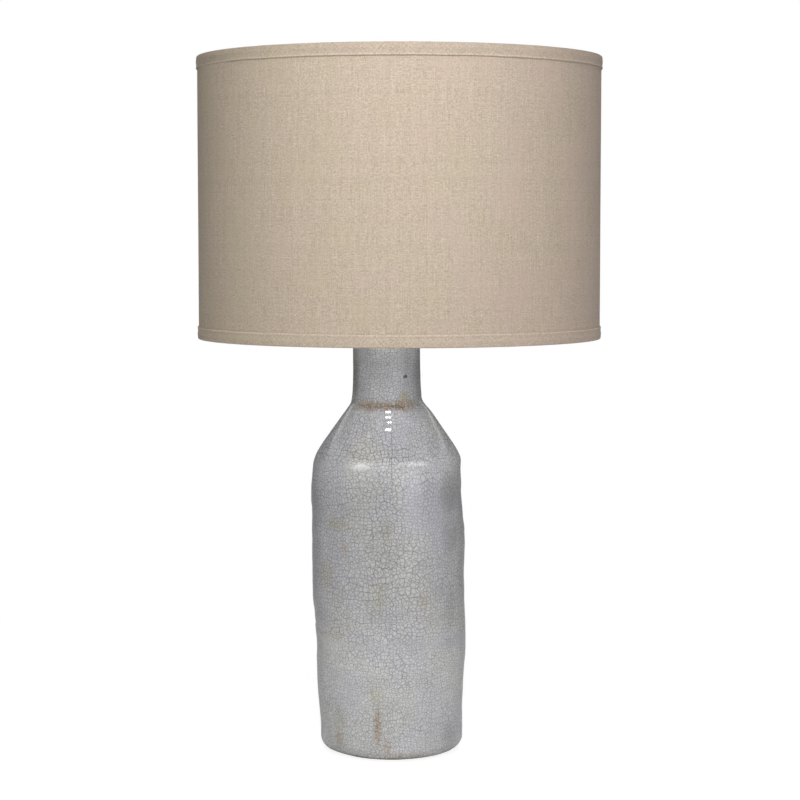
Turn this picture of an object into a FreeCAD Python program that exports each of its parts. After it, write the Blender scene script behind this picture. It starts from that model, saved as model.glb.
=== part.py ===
import FreeCAD, Part
import math
import os
from FreeCAD import Vector

# Table lamp: a tall stoneware bottle under a linen drum shade, held by a harp.
# Lengths are in millimetres. Z is up, the floor of the model is the underside of the felt,
# and the origin is under the middle of the shade. The bottle stands left of that middle,
# because the wire harp leans a little to the right.

# Fits
thread_slack = 0.1             # radial, between a thread and its nut
running_slack = 0.1            # radial, round a piece that turns or slides
loose_slack = 0.3              # between faces of pieces that move apart

# Bottle
bottle_lean = 13.3             # from the neck's middle to the shade's middle
felt_thickness = 1.5
felt_radius = 57.0
bottle_height = 425.0          # from the foot ring to the mouth
bottle_wall = 7.0
foot_radius = 72.4             # just above the heel
heel_radius = 12.0             # rounding under the wall
belly_radius = 77.5
wall_height = 288.5            # from the foot ring to the start of the shoulder
shoulder_height = 65.0         # from there to the root of the neck
wall_top_radius = 75.2
neck_root_radius = 36.6
neck_radius = 34.1
floor_thickness = 8.0
recess_height = 32.0           # hollow under the floor
recess_radius = 52.0
recess_flare = 6.0             # the hollow is this much wider at its roof

# Hand-thrown wall, at even steps up: (change of radius from the belly, drift in X and Y)
wall_marks = (
    (-4.0, 4.7, 0.3),
    (-2.1, 4.5, 0.6),
    (-1.2, 4.3, 0.3),
    (-0.4, 2.9, -0.4),
    (-0.1, 2.2, -0.7),
    (0.0, 2.0, -0.3),
    (-0.9, 0.7, 0.3),
)
foot_drift = (5.3, 0.0)        # where the foot's middle stands from the neck's middle
wall_top_drift = (0.6, 0.4)
neck_root_drift = (1.4, 0.2)
# Shoulder, at even steps up: share of the way in to the root of the neck
shoulder_marks = (0.04, 0.19, 0.38, 0.575, 0.77)
# Neck, at even steps up: share of the way in to its straight part
neck_marks = (0.8, 0.97, 1.0, 1.0)

# Cord inlet, low on the back
inlet_height = 20.0            # above the foot ring
inlet_radius = 5.2             # hole in the stoneware
bushing_bore = 3.4
bushing_flange = 8.0
bushing_flange_height = 2.0
bushing_tail = 5.0             # inside the recess

# Pipe and what is clamped on it
pipe_radius = 4.95
pipe_bore = 3.3
pipe_below_nut = 4.0
foot_washer_radius = 21.0
foot_washer_height = 2.0
lock_washer_radius = 9.0
lock_washer_height = 1.6
foot_nut_flats = 17.0
foot_nut_height = 5.0
cap_radius = 31.5
cap_sheet = 1.2
cap_dome = 5.0
cap_lip = 4.0
collar_radius = 8.5
collar_waist = 6.6
collar_height = 12.0
check_ring_radius = 10.0
check_ring_height = 3.0
lock_nut_flats = 14.0
lock_nut_height = 3.0

# Harp and its saddle
harp_height = 241.3            # from the saddle's underside to the seat of the shade
harp_wire = 4.0
harp_legs = 60.0               # between the middles of the two legs
harp_belly = 112.0
harp_leg_length = 66.0         # straight part, above the saddle's underside
harp_shoulder = 30.0           # half width of the flat top
harp_widest_from = 110.0       # heights above the saddle where the bow is widest
harp_widest_to = 188.0
harp_bend = 44.0
harp_top_bend = 34.0
saddle_sheet = 1.6
saddle_width = 12.0
saddle_flat = 44.0             # length of its flat middle
saddle_rise = 12.0             # up to the shoulders of the prongs
saddle_bend = 6.0
prong_width = 5.6
prong_height = 13.0
sleeve_radius = 6.3
sleeve_bore = 5.0
sleeve_height = 17.0
sleeve_roof = 3.0
eye_radius = 6.5
rivet_radius = 2.4
post_seat_radius = 8.5
post_seat_height = 2.0
post_pilot_height = 1.6        # step that the hub of the shade turns on
post_radius = 3.15
post_height = 13.0             # above the hub's underside

# Socket
socket_hub_radius = 8.0
socket_hub_height = 5.0
socket_cap_radius = 18.6
socket_cap_height = 24.0
socket_sheet = 1.0
shell_radius = 17.3
shell_sheet = 0.8
shell_height = 48.5
shell_bead = 0.7
insulator_sheet = 0.6
core_radius = 15.4
core_height = 20.0
core_flat = 11.5               # from the middle to the flats behind the terminals
terminal_head = 3.0
terminal_height = 1.8
screw_shell_sheet = 0.4
screw_shell_height = 22.0
contact_radius = 4.0
contact_height = 0.8
contact_boss = 1.2
set_screw_radius = 1.5
set_screw_length = 4.5
switch_height = 30.0           # above the socket's underside
switch_slot = 9.0
stem_radius = 2.0
stem_reach = 29.0              # from the middle of the socket
stem_depth = 3.0               # how deep it goes into the core
knob_radius = 5.2
knob_length = 13.0
knob_ribs = 14
knob_rib_depth = 0.5

# Bulb, a common pear shape on a 26 mm screw base
thread_pitch = 3.63
thread_depth = 0.4             # from the middle of the thread to its crest
bulb_thread_radius = 12.7      # to the middle of the thread
bulb_thread_length = 18.2
bulb_tip_radius = 3.6
bulb_tip_height = 2.0
bulb_insulator_height = 4.5
bulb_collar_height = 3.4
bulb_height = 110.0
bulb_radius = 30.0
bulb_rim = 28.4                # radius where the housing meets the diffuser
bulb_split = 58.0              # height of that joint above the tip
bulb_shell = 1.6
led_board_height = 1.6
led_board_drop = 3.0           # from the joint down to the board

# Shade
shade_height = 281.0
shade_radius = 202.4           # outside of the linen
linen_thickness = 0.6
liner_thickness = 0.6
ring_wire = 3.4
binding_width = 12.7
binding_inner_width = 9.0
binding_stand = 0.8            # how far the binding stands out from the linen
binding_fold = 0.6             # over the edge
binding_round = 1.2
seam_width = 13.0
seam_thickness = 0.4
spider_drop = 10.5             # from the top of the shade down to the top of the hub
spider_wire = 3.0
spider_arms = 3
spider_first_arm = 30.0        # degrees from the X axis
spider_bend_out = 48.0         # where an arm starts down, from the middle
spider_bend_in = 26.0          # where it is level with the hub
spider_bend = 14.0
hub_radius = 13.0
hub_bore = 5.5
hub_height = 2.2

# Finial
finial_flange_radius = 7.4
finial_flange_height = 1.6
finial_bush_radius = 4.9
finial_bush_height = 11.5
finial_neck_radius = 6.2
finial_lip = 1.8               # rounded bead round the foot of the knob
finial_waist = 1.4             # from the bead up to the ball
finial_ball_radius = 8.6
finial_height = 21.0

# Heights that follow from the sizes above
foot_z = felt_thickness
heel_z = foot_z + heel_radius
recess_z = foot_z + recess_height
floor_z = recess_z + floor_thickness
wall_top_z = foot_z + wall_height
neck_z = wall_top_z + shoulder_height
mouth_z = foot_z + bottle_height
cap_top_z = mouth_z + cap_dome + cap_sheet
collar_top_z = cap_top_z + collar_height
saddle_z = collar_top_z + check_ring_height
saddle_top_z = saddle_z + saddle_sheet
socket_z = saddle_top_z + lock_nut_height
seat_z = saddle_z + harp_height
hub_top_z = seat_z + loose_slack + hub_height
shade_top_z = hub_top_z + spider_drop
shade_bottom_z = shade_top_z - shade_height
stem_x = -bottle_lean


def point(x, z, y=0.0):
    return Vector(x, y, z)


# A closed outline in the XZ plane. A step is a point, or the middle and end of an arc.
def outline(start, *steps):
    here = point(*start)
    first = here
    edges = []
    for step in steps:
        if isinstance(step[0], tuple):
            middle, end = point(*step[0]), point(*step[1])
            edges.append(Part.Arc(here, middle, end).toShape())
        else:
            end = point(*step)
            edges.append(Part.LineSegment(here, end).toShape())
        here = end
    if here.distanceToPoint(first) > 1e-6:
        edges.append(Part.LineSegment(here, first).toShape())
    return Part.Wire(edges)


# Middle of a round corner, for an arc step of an outline
def corner(center, radius, degrees):
    angle = math.radians(degrees)
    return (center[0] + radius * math.cos(angle), center[1] + radius * math.sin(angle))


def turned(wire, x=stem_x):
    solid = Part.Face(wire).revolve(Vector(0, 0, 0), Vector(0, 0, 1), 360)
    solid.translate(Vector(x, 0, 0))
    return solid


def rod(radius, low, high, x=stem_x, y=0.0):
    return Part.makeCylinder(radius, high - low, Vector(x, y, low))


def tube(outer, inner, low, high, x=stem_x):
    return rod(outer, low, high, x).cut(rod(inner, low - 1, high + 1, x))


def hex_nut(flats, bore, low, high, x=stem_x):
    reach = flats / math.sqrt(3)
    corners = []
    for side in range(7):
        angle = math.radians(60 * side)
        corners.append(Vector(x + reach * math.cos(angle), reach * math.sin(angle), low))
    prism = Part.Face(Part.makePolygon(corners)).extrude(Vector(0, 0, high - low))
    return prism.cut(rod(bore, low - 1, high + 1, x))


# A route of straight runs joined by tangent arcs. A bend gives way where its runs are short.
def rounded_route(points, bends):
    edges = []
    here = points[0]
    for before, at, after, bend in zip(points, points[1:], points[2:], bends):
        into = (at - before).normalize()
        out = (after - at).normalize()
        half_turn = into.getAngle(out) / 2
        shorter = min((at - before).Length, (after - at).Length)
        radius = min(bend, 0.49 * shorter / math.tan(half_turn))
        tangent = radius * math.tan(half_turn)
        inward = (out - into).normalize()
        center = at + inward * (radius / math.cos(half_turn))
        start, end = at - into * tangent, at + out * tangent
        edges.append(Part.LineSegment(here, start).toShape())
        edges.append(Part.Arc(start, center - inward * radius, end).toShape())
        here = end
    edges.append(Part.LineSegment(here, points[-1]).toShape())
    return Part.Wire(edges)


def wire_rod(route, diameter):
    start = route.Edges[0]
    first = start.valueAt(start.FirstParameter)
    along = start.tangentAt(start.FirstParameter)
    section = Part.Wire(Part.Circle(first, along, diameter / 2).toShape())
    return route.makePipeShell([section], True, False)


# The bottle's outer wall as (radius, height, drift X, drift Y), from the heel up
def wall_stations():
    stations = [(foot_radius, heel_z, *foot_drift)]
    rise = (wall_top_z - heel_z) / (len(wall_marks) + 1)
    for step, (change, drift_x, drift_y) in enumerate(wall_marks, 1):
        stations.append((belly_radius + change, heel_z + step * rise, drift_x, drift_y))
    stations.append((wall_top_radius, wall_top_z, *wall_top_drift))
    return stations


def narrowing(start, end, marks):
    stations = [start]
    for step, share in enumerate(marks, 1):
        up = step / (len(marks) + 1)
        radius = start[0] + share * (end[0] - start[0])
        height, drift_x, drift_y = [a + up * (b - a) for a, b in zip(start[1:], end[1:])]
        stations.append((radius, height, drift_x, drift_y))
    stations.append(end)
    return stations


def neck_root():
    return (neck_root_radius, neck_z, *neck_root_drift)


def shoulder_stations():
    return narrowing((wall_top_radius, wall_top_z, *wall_top_drift), neck_root(), shoulder_marks)


def neck_stations():
    return narrowing(neck_root(), (neck_radius, mouth_z, 0.0, 0.0), neck_marks)


# Moves each station inwards by the thickness of the wall, square to the outline
def inner_stations(stations, thickness):
    moved = []
    for index, (radius, height, drift_x, drift_y) in enumerate(stations):
        low = stations[max(index - 1, 0)]
        high = stations[min(index + 1, len(stations) - 1)]
        rise, widen = high[1] - low[1], high[0] - low[0]
        slope = math.hypot(rise, widen)
        inner_radius = radius - thickness * rise / slope
        moved.append((inner_radius, height + thickness * widen / slope, drift_x, drift_y))
    return moved


def thrown(stations):
    circles = []
    for radius, height, drift_x, drift_y in stations:
        center = Vector(stem_x + drift_x, drift_y, height)
        circles.append(Part.Wire(Part.Circle(center, Vector(0, 0, 1), radius).toShape()))
    return Part.makeLoft(circles, True, False, False, 3)


def bottle_outside():
    foot_x = stem_x + foot_drift[0]
    heel_center = (foot_radius - heel_radius, heel_z)
    heel = turned(outline(
        (0, foot_z),
        (foot_radius - heel_radius, foot_z),
        (corner(heel_center, heel_radius, -45), (foot_radius, heel_z)),
        (0, heel_z),
    ), foot_x)
    heel.translate(Vector(0, foot_drift[1], 0))
    return heel.fuse([thrown(wall_stations()), thrown(shoulder_stations()), thrown(neck_stations())])


def bottle_hollow():
    wall = [s for s in inner_stations(wall_stations(), bottle_wall) if s[1] > floor_z + 10]
    start = (wall[0][0] - 2.0, floor_z, *wall[0][2:])
    shoulder = inner_stations(shoulder_stations(), bottle_wall)
    shoulder[0] = wall[-1]
    shoulder[-1] = (neck_root_radius - bottle_wall, *shoulder[-1][1:])
    neck_bore = neck_radius - bottle_wall
    bore_from = (shoulder[-1][0], shoulder[-1][1], *neck_root_drift)
    mouth = narrowing(bore_from, (neck_bore, mouth_z + 1, 0.0, 0.0), neck_marks)
    return thrown([start] + wall).fuse([thrown(shoulder), thrown(mouth)])


def foot_recess():
    roof_radius = recess_radius + recess_flare
    cone = Part.makeCone(recess_radius, roof_radius, recess_height,
                         Vector(stem_x + foot_drift[0], foot_drift[1], foot_z))
    return cone


def inlet_rod(radius, near, far):
    start = Vector(stem_x + foot_drift[0], near, foot_z + inlet_height)
    return Part.makeCylinder(radius, far - near, start, Vector(0, 1, 0))


def ceramic_bottle():
    bottle = bottle_outside().cut(bottle_hollow()).cut(foot_recess())
    bottle = bottle.cut(rod(pipe_radius + loose_slack, recess_z - 1, floor_z + 1))
    return bottle.cut(inlet_rod(inlet_radius, recess_radius / 2, foot_radius + 20))


def felt_pad():
    return rod(felt_radius, 0, felt_thickness, stem_x + foot_drift[0], foot_drift[1])


def cord_bushing():
    back = foot_drift[1] + foot_radius + 2
    inner_end = foot_drift[1] + recess_radius + recess_flare - bushing_tail
    flange = inlet_rod(bushing_flange, back - 12, back + bushing_flange_height)
    flange = flange.cut(bottle_outside())
    barrel = inlet_rod(inlet_radius, inner_end, back)
    bushing = flange.fuse(barrel).cut(inlet_rod(bushing_bore, inner_end - 1, back + 20))
    return bushing.removeSplitter()


def foot_washer():
    return tube(foot_washer_radius, pipe_radius + thread_slack, recess_z - foot_washer_height, recess_z)


def lock_washer_z():
    return recess_z - foot_washer_height - lock_washer_height


def lock_washer():
    return tube(lock_washer_radius, pipe_radius + thread_slack,
                lock_washer_z(), lock_washer_z() + lock_washer_height)


def foot_nut():
    return hex_nut(foot_nut_flats, pipe_radius + thread_slack,
                   lock_washer_z() - foot_nut_height, lock_washer_z())


def threaded_pipe():
    low = lock_washer_z() - foot_nut_height - pipe_below_nut
    return tube(pipe_radius, pipe_bore, low, socket_z + socket_hub_height + 2)


# Spun cap over the mouth, with a lip that drops into the neck
def vase_cap():
    bore = pipe_radius + loose_slack
    lip_radius = neck_radius - bottle_wall - loose_slack
    rise = cap_dome
    return turned(outline(
        (bore, cap_top_z),
        (collar_radius, cap_top_z),
        ((cap_radius * 0.68, mouth_z + rise * 0.72 + cap_sheet), (cap_radius, mouth_z + cap_sheet * 0.5)),
        (cap_radius, mouth_z),
        (lip_radius, mouth_z),
        (lip_radius, mouth_z - cap_lip),
        (lip_radius - cap_sheet, mouth_z - cap_lip),
        (lip_radius - cap_sheet, mouth_z),
        ((lip_radius * 0.68, mouth_z + rise * 0.62), (collar_radius, mouth_z + rise)),
        (bore, mouth_z + rise),
    ))


def brass_collar():
    bore = pipe_radius + thread_slack
    middle = cap_top_z + collar_height / 2
    return turned(outline(
        (bore, cap_top_z),
        (collar_radius, cap_top_z),
        (collar_radius, cap_top_z + 1.6),
        ((collar_waist, middle), (collar_radius, collar_top_z - 1.6)),
        (collar_radius, collar_top_z),
        (bore, collar_top_z),
    ))


def check_ring():
    edge = (check_ring_radius - check_ring_height / 2, collar_top_z + check_ring_height / 2)
    bore = pipe_radius + thread_slack
    return turned(outline(
        (bore, collar_top_z),
        (edge[0], collar_top_z),
        ((check_ring_radius, edge[1]), (edge[0], saddle_z)),
        (bore, saddle_z),
    ))


def prong_middle():
    return harp_legs / 2 + harp_wire / 2 + running_slack + saddle_sheet / 2


def prong_shoulder_z():
    return saddle_z + saddle_rise


# Bent strip under the socket, with a narrow prong up each end
def harp_saddle():
    middle = saddle_z + saddle_sheet / 2
    prong_top = prong_shoulder_z() + prong_height
    reach = prong_middle()
    route = rounded_route([
        point(stem_x - reach, prong_top),
        point(stem_x - reach, prong_shoulder_z() - 1),
        point(stem_x - saddle_flat / 2, middle),
        point(stem_x + saddle_flat / 2, middle),
        point(stem_x + reach, prong_shoulder_z() - 1),
        point(stem_x + reach, prong_top),
    ], [saddle_bend] * 4)
    half_sheet, half_width = saddle_sheet / 2, saddle_width / 2
    left = stem_x - reach
    section = Part.makePolygon([
        Vector(left - half_sheet, -half_width, prong_top),
        Vector(left + half_sheet, -half_width, prong_top),
        Vector(left + half_sheet, half_width, prong_top),
        Vector(left - half_sheet, half_width, prong_top),
        Vector(left - half_sheet, -half_width, prong_top),
    ])
    strip = route.makePipeShell([section], True, False)
    for side in (-1, 1):
        low_y = prong_width / 2 if side > 0 else -half_width - 1
        trim = Part.makeBox(2 * reach + 10, half_width + 1 - prong_width / 2, prong_height + 1,
                            Vector(stem_x - reach - 5, low_y, prong_shoulder_z()))
        strip = strip.cut(trim)
    return strip.cut(rod(pipe_radius + thread_slack, saddle_z - 1, saddle_top_z + 1))


def lock_nut():
    return hex_nut(lock_nut_flats, pipe_radius + thread_slack, saddle_top_z, socket_z)


def bow_top_z():
    return seat_z - post_seat_height - harp_wire / 2


# Half of the bow's route, from the leg up, as (distance from the middle, height, share of the lean)
def bow_half():
    widest_from = saddle_z + harp_widest_from
    widest_to = saddle_z + harp_widest_to
    leg_top = saddle_z + harp_leg_length
    rise = bow_top_z() - leg_top
    return [
        (harp_legs / 2, prong_shoulder_z() + 1.0, 0.0),
        (harp_legs / 2, leg_top, 0.0),
        (harp_belly / 2, widest_from, (widest_from - leg_top) / rise),
        (harp_belly / 2, widest_to, (widest_to - leg_top) / rise),
        (harp_shoulder, bow_top_z(), 1.0),
    ]


def harp_bow():
    half = bow_half()
    left = [point(stem_x - out + lean * bottle_lean, height) for out, height, lean in half]
    right = [point(stem_x + out + lean * bottle_lean, height) for out, height, lean in half]
    bends = [harp_bend, harp_bend, harp_bend, harp_top_bend]
    route = rounded_route(left + right[::-1], bends + bends[::-1])
    eye = rod(eye_radius, bow_top_z() - harp_wire / 2, bow_top_z() + harp_wire / 2, 0)
    bow = wire_rod(route, harp_wire).fuse(eye)
    return bow.cut(rod(rivet_radius, bow_top_z() - 10, bow_top_z() + 10, 0)).removeSplitter()


# Riveted stud that carries the shade and the finial
def harp_post():
    bow_low = bow_top_z() - harp_wire / 2
    rivet_head = 1.4
    top = seat_z + post_height + hub_height
    chamfer = 0.6
    return turned(outline(
        (0, bow_low - rivet_head),
        (rivet_radius, bow_low - rivet_head),
        ((rivet_radius + 1.0, bow_low - rivet_head / 2), (rivet_radius + 1.4, bow_low)),
        (rivet_radius, bow_low),
        (rivet_radius, bow_low + harp_wire),
        (post_seat_radius, bow_low + harp_wire),
        (post_seat_radius, seat_z),
        (hub_bore - running_slack, seat_z),
        (hub_bore - running_slack, seat_z + post_pilot_height),
        (post_radius, seat_z + post_pilot_height),
        (post_radius, top - chamfer),
        (post_radius - chamfer, top),
        (0, top),
    ), 0)


# Cup that drops over a prong and the harp's leg. side is -1 on the left, 1 on the right
def harp_sleeve(side):
    leg_x = stem_x + side * harp_legs / 2
    cup_x = stem_x + side * (harp_legs / 2 + (saddle_sheet + running_slack) / 2)
    low = prong_shoulder_z() + loose_slack
    high = low + sleeve_height
    soft_edge = 1.0
    cup = turned(outline(
        (0, low),
        (sleeve_radius, low),
        (sleeve_radius, high - soft_edge),
        (corner((sleeve_radius - soft_edge, high - soft_edge), soft_edge, 45),
         (sleeve_radius - soft_edge, high)),
        (0, high),
    ), cup_x)
    cup = cup.cut(rod(sleeve_bore, low - 1, high - sleeve_roof, cup_x))
    return cup.cut(rod(harp_wire / 2 + 2 * running_slack, low, high + 1, leg_x))


# Straight walled cup with a domed bottom and a threaded hub
def socket_cap():
    hub_top = socket_z + socket_hub_height
    dome = socket_cap_radius - socket_hub_radius
    wall_from = (socket_hub_radius, hub_top + dome)
    top = socket_z + socket_cap_height
    bore = pipe_radius + thread_slack
    inner = socket_cap_radius - socket_sheet
    cap = turned(outline(
        (bore, socket_z),
        (socket_hub_radius, socket_z),
        (socket_hub_radius, hub_top),
        (corner(wall_from, dome, -45), (socket_cap_radius, wall_from[1])),
        (socket_cap_radius, top),
        (inner, top),
        (inner, wall_from[1]),
        (corner(wall_from, dome - socket_sheet, -45), (socket_hub_radius, hub_top + socket_sheet)),
        (bore, hub_top + socket_sheet),
    ))
    return cap.cut(set_screw_rod(0))


# From a distance off the socket's middle outwards
def set_screw_rod(near):
    far = pipe_radius + set_screw_length
    start = Vector(stem_x + near, 0, socket_z + socket_hub_height / 2)
    return Part.makeCylinder(set_screw_radius, far - near, start, Vector(1, 0, 0))


def cap_set_screw():
    slot_at = stem_x + pipe_radius + set_screw_length
    slot = Part.makeBox(1.0, 2 * set_screw_radius, 0.5,
                        Vector(slot_at - 0.7, -set_screw_radius, socket_z + socket_hub_height / 2 - 0.25))
    return set_screw_rod(pipe_radius).cut(slot)


def shell_z():
    return socket_z + socket_hub_height + socket_cap_radius - socket_hub_radius


def switch_z():
    return socket_z + switch_height


# Opening for the switch, from the bottom of a sleeve to just above the stem
def switch_opening(low):
    high = switch_z() + switch_slot / 2
    return Part.makeBox(switch_slot, 30, high - low, Vector(stem_x - switch_slot / 2, -30, low))


def socket_shell():
    low, high = shell_z(), shell_z() + shell_height
    inner = shell_radius - shell_sheet
    bead_z = high - 5
    shell = turned(outline(
        (inner, low),
        (shell_radius, low),
        (shell_radius, bead_z - 1.5),
        ((shell_radius + shell_bead, bead_z), (shell_radius, bead_z + 1.5)),
        (shell_radius, high - shell_sheet),
        (shell_radius - shell_sheet, high),
        (inner - 0.6, high),
        (inner - 0.6, high - shell_sheet),
        (inner, high - shell_sheet),
    ))
    return shell.cut(switch_opening(low - 1))


def insulator_radius():
    return shell_radius - shell_sheet - running_slack


def socket_insulator():
    low, high = shell_z() + 1, shell_z() + shell_height - 2
    sleeve = tube(insulator_radius(), insulator_radius() - insulator_sheet, low, high)
    return sleeve.cut(switch_opening(low - 1))


def core_z():
    return shell_z() + 2


def core_top_z():
    return core_z() + core_height


def switch_rod(radius, near, far):
    start = Vector(stem_x, -near, switch_z())
    return Part.makeCylinder(radius, far - near, start, Vector(0, -1, 0))


# Moulded core with flats for the terminals and a boss for the switch
def socket_core():
    core = rod(core_radius, core_z(), core_top_z())
    for side in (-1, 1):
        corner_x = core_flat if side > 0 else -core_flat - core_radius
        core = core.cut(Part.makeBox(core_radius, 2 * core_radius, core_height * 0.7,
                                     Vector(stem_x + corner_x, -core_radius, core_z())))
    core = core.fuse(rod(contact_radius + 0.6, core_top_z(), core_top_z() + contact_boss))
    boss_end = shell_radius - running_slack
    core = core.fuse(switch_rod(switch_slot / 2 - loose_slack, core_radius - 4, boss_end))
    return core.cut(switch_rod(stem_radius + running_slack, core_radius - stem_depth, boss_end + 1))


def terminal_screws():
    screws = []
    for side in (-1, 1):
        start = Vector(stem_x + side * core_flat, 0, core_z() + core_height * 0.35)
        head = Part.makeCylinder(terminal_head, terminal_height, start, Vector(side, 0, 0))
        slot_x = start.x + side * terminal_height - 0.4
        slot = Part.makeBox(0.8, 2 * terminal_head, 0.8,
                            Vector(slot_x - 0.4, -terminal_head, start.z - 0.4))
        screws.append(head.cut(slot))
    return Part.makeCompound(screws)


# Rolled thread as a wave of half rounds, from low upwards for the whole turns in a length
def thread_steps(radius, low, length, outward):
    steps = []
    quarter = thread_pitch / 4
    for turn in range(int(length / thread_pitch)):
        base = low + turn * thread_pitch
        crest = (radius + outward * thread_depth, base + quarter)
        valley = (radius - outward * thread_depth, base + 3 * quarter)
        steps.append((crest, (radius, base + 2 * quarter)))
        steps.append((valley, (radius, base + thread_pitch)))
    return steps


def screw_shell():
    low = core_top_z()
    high = low + screw_shell_height
    inner = bulb_thread_radius + 2 * thread_depth + running_slack
    outer = inner + thread_depth + screw_shell_sheet
    return turned(outline(
        (inner, low),
        *thread_steps(inner, low, screw_shell_height - 2, 1),
        (inner, high),
        (outer + screw_shell_sheet, high),
        (outer + screw_shell_sheet, high - screw_shell_sheet),
        (outer, high - screw_shell_sheet),
        (outer, low),
    ))


def center_contact():
    low = core_top_z() + contact_boss
    return rod(contact_radius, low, low + contact_height)


def switch_stem():
    return switch_rod(stem_radius, core_radius - stem_depth + running_slack, stem_reach)


# Ribbed knob on the end of the stem
def switch_knob():
    near = shell_radius + shell_bead + 1
    far = near + knob_length
    knob = switch_rod(knob_radius, near, far)
    for rib in range(knob_ribs):
        angle = 2 * math.pi * rib / knob_ribs
        groove_x = stem_x + knob_radius * math.cos(angle)
        groove_z = switch_z() + knob_radius * math.sin(angle)
        start = Vector(groove_x, -near - 2, groove_z)
        knob = knob.cut(Part.makeCylinder(knob_rib_depth, knob_length, start, Vector(0, -1, 0)))
    return knob.cut(switch_rod(stem_radius, near - 1, stem_reach))


def bulb_tip_z():
    return core_top_z() + contact_boss + contact_height + loose_slack


def bulb_thread_z():
    return bulb_tip_z() + bulb_tip_height + bulb_insulator_height


def bulb_collar_z():
    return bulb_thread_z() + bulb_thread_length


def bulb_housing_z():
    return bulb_collar_z() + bulb_collar_height


def bulb_contact():
    low = bulb_tip_z()
    high = low + bulb_tip_height
    return turned(outline(
        (0, low),
        ((bulb_tip_radius * 0.7, low + bulb_tip_height * 0.3), (bulb_tip_radius, high)),
        (0, high),
    ))


def bulb_insulator():
    low = bulb_tip_z() + bulb_tip_height
    return turned(outline(
        (0, low),
        (bulb_tip_radius + 0.8, low),
        (bulb_thread_radius - 2.2, bulb_thread_z()),
        (0, bulb_thread_z()),
    ))


def bulb_base():
    low, top = bulb_thread_z(), bulb_housing_z()
    inner = bulb_thread_radius - thread_depth - 0.8
    return turned(outline(
        (inner, low),
        (bulb_thread_radius, low),
        *thread_steps(bulb_thread_radius, low, bulb_thread_length, 1),
        (bulb_thread_radius, top),
        (inner, top),
    ))


# A point on a gentle swelling curve between two points of the bulb
def swell(low, high, out):
    return ((low[0] + high[0]) / 2 + out, (low[1] + high[1]) / 2)


# The housing's outline, or with a wall thickness its inside
def housing_side(wall):
    low = (bulb_thread_radius + 0.4 - wall, bulb_housing_z())
    high = (bulb_rim - wall, bulb_tip_z() + bulb_split)
    return low, swell(low, high, 0.9), high


# Lower half of the bulb, a moulded cone that carries the board
def bulb_housing():
    low, middle, high = housing_side(0)
    inner_low, inner_middle, inner_high = housing_side(bulb_shell)
    return turned(outline(low, (middle, high), inner_high, (inner_middle, inner_low)))


# Frosted half ball over the board, with a short skirt down to the housing
def diffuser_solid(wall):
    radius = bulb_radius - wall
    start = (bulb_rim - wall, bulb_tip_z() + bulb_split)
    center = (0, bulb_tip_z() + bulb_height - bulb_radius)
    widest = (radius, center[1])
    return turned(outline(
        (0, start[1]),
        start,
        (swell(start, widest, (widest[0] - start[0]) / 4), widest),
        (corner(center, radius, 45), (0, center[1] + radius)),
    ))


def bulb_diffuser():
    return diffuser_solid(0).cut(diffuser_solid(bulb_shell))


# Board pressed into the housing, just under the joint
def led_board():
    high = bulb_tip_z() + bulb_split - led_board_drop
    low, middle, rim = housing_side(bulb_shell)
    inside = turned(outline((0, low[1]), low, (middle, rim), (0, rim[1])))
    return inside.common(rod(bulb_radius, high - led_board_height, high))


def ring_middle():
    return shade_radius - linen_thickness - liner_thickness - ring_wire / 2


def edge_ring(height):
    return Part.makeTorus(ring_middle(), ring_wire / 2, Vector(0, 0, height))


def top_ring():
    return edge_ring(shade_top_z - binding_fold - ring_wire / 2)


def bottom_ring():
    return edge_ring(shade_bottom_z + binding_fold + ring_wire / 2)


def shade_linen():
    return tube(shade_radius, shade_radius - linen_thickness,
                shade_bottom_z + binding_fold, shade_top_z - binding_fold, 0)


def shade_liner():
    outer = shade_radius - linen_thickness
    return tube(outer, outer - liner_thickness,
                shade_bottom_z + binding_fold, shade_top_z - binding_fold, 0)


# Overlap of the linen down the back, between the two bindings
def linen_seam():
    low = shade_bottom_z + binding_width
    high = shade_top_z - binding_width
    half = math.degrees(seam_width / shade_radius) / 2
    face = Part.Face(outline(
        (shade_radius, low),
        (shade_radius + seam_thickness, low),
        (shade_radius + seam_thickness, high),
        (shade_radius, high),
    ))
    face.rotate(Vector(0, 0, 0), Vector(0, 0, 1), 90 - half)
    return face.revolve(Vector(0, 0, 0), Vector(0, 0, 1), 2 * half)


# Tape folded over an edge of the shade and round its ring, as an outline of (radius, depth).
# up is 1 at the top edge, -1 at the bottom edge
def binding(edge_z, up):
    outer = shade_radius + binding_stand
    wall = shade_radius - linen_thickness - liner_thickness
    inner = ring_middle() - ring_wire / 2 - binding_fold
    ring_depth = binding_fold + ring_wire / 2
    below_ring = binding_fold + ring_wire
    turn = binding_round

    def at(radius, depth):
        return (radius, edge_z - up * depth)

    return turned(outline(
        at(shade_radius, binding_width),
        at(outer, binding_width),
        at(outer, turn),
        (corner(at(outer - turn, turn), turn, 45 * up), at(outer - turn, 0)),
        at(inner + turn, 0),
        (corner(at(inner + turn, turn), turn, 180 - 45 * up), at(inner, turn)),
        at(inner, below_ring),
        at(wall - binding_fold, binding_inner_width),
        at(wall, binding_inner_width),
        at(wall, below_ring),
        at(ring_middle(), below_ring),
        (at(ring_middle() - ring_wire / 2, ring_depth), at(ring_middle(), binding_fold)),
        at(shade_radius, binding_fold),
    ), 0)


def top_binding():
    return binding(shade_top_z, 1).cut(arm_rods())


def bottom_binding():
    return binding(shade_bottom_z, -1)


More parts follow.
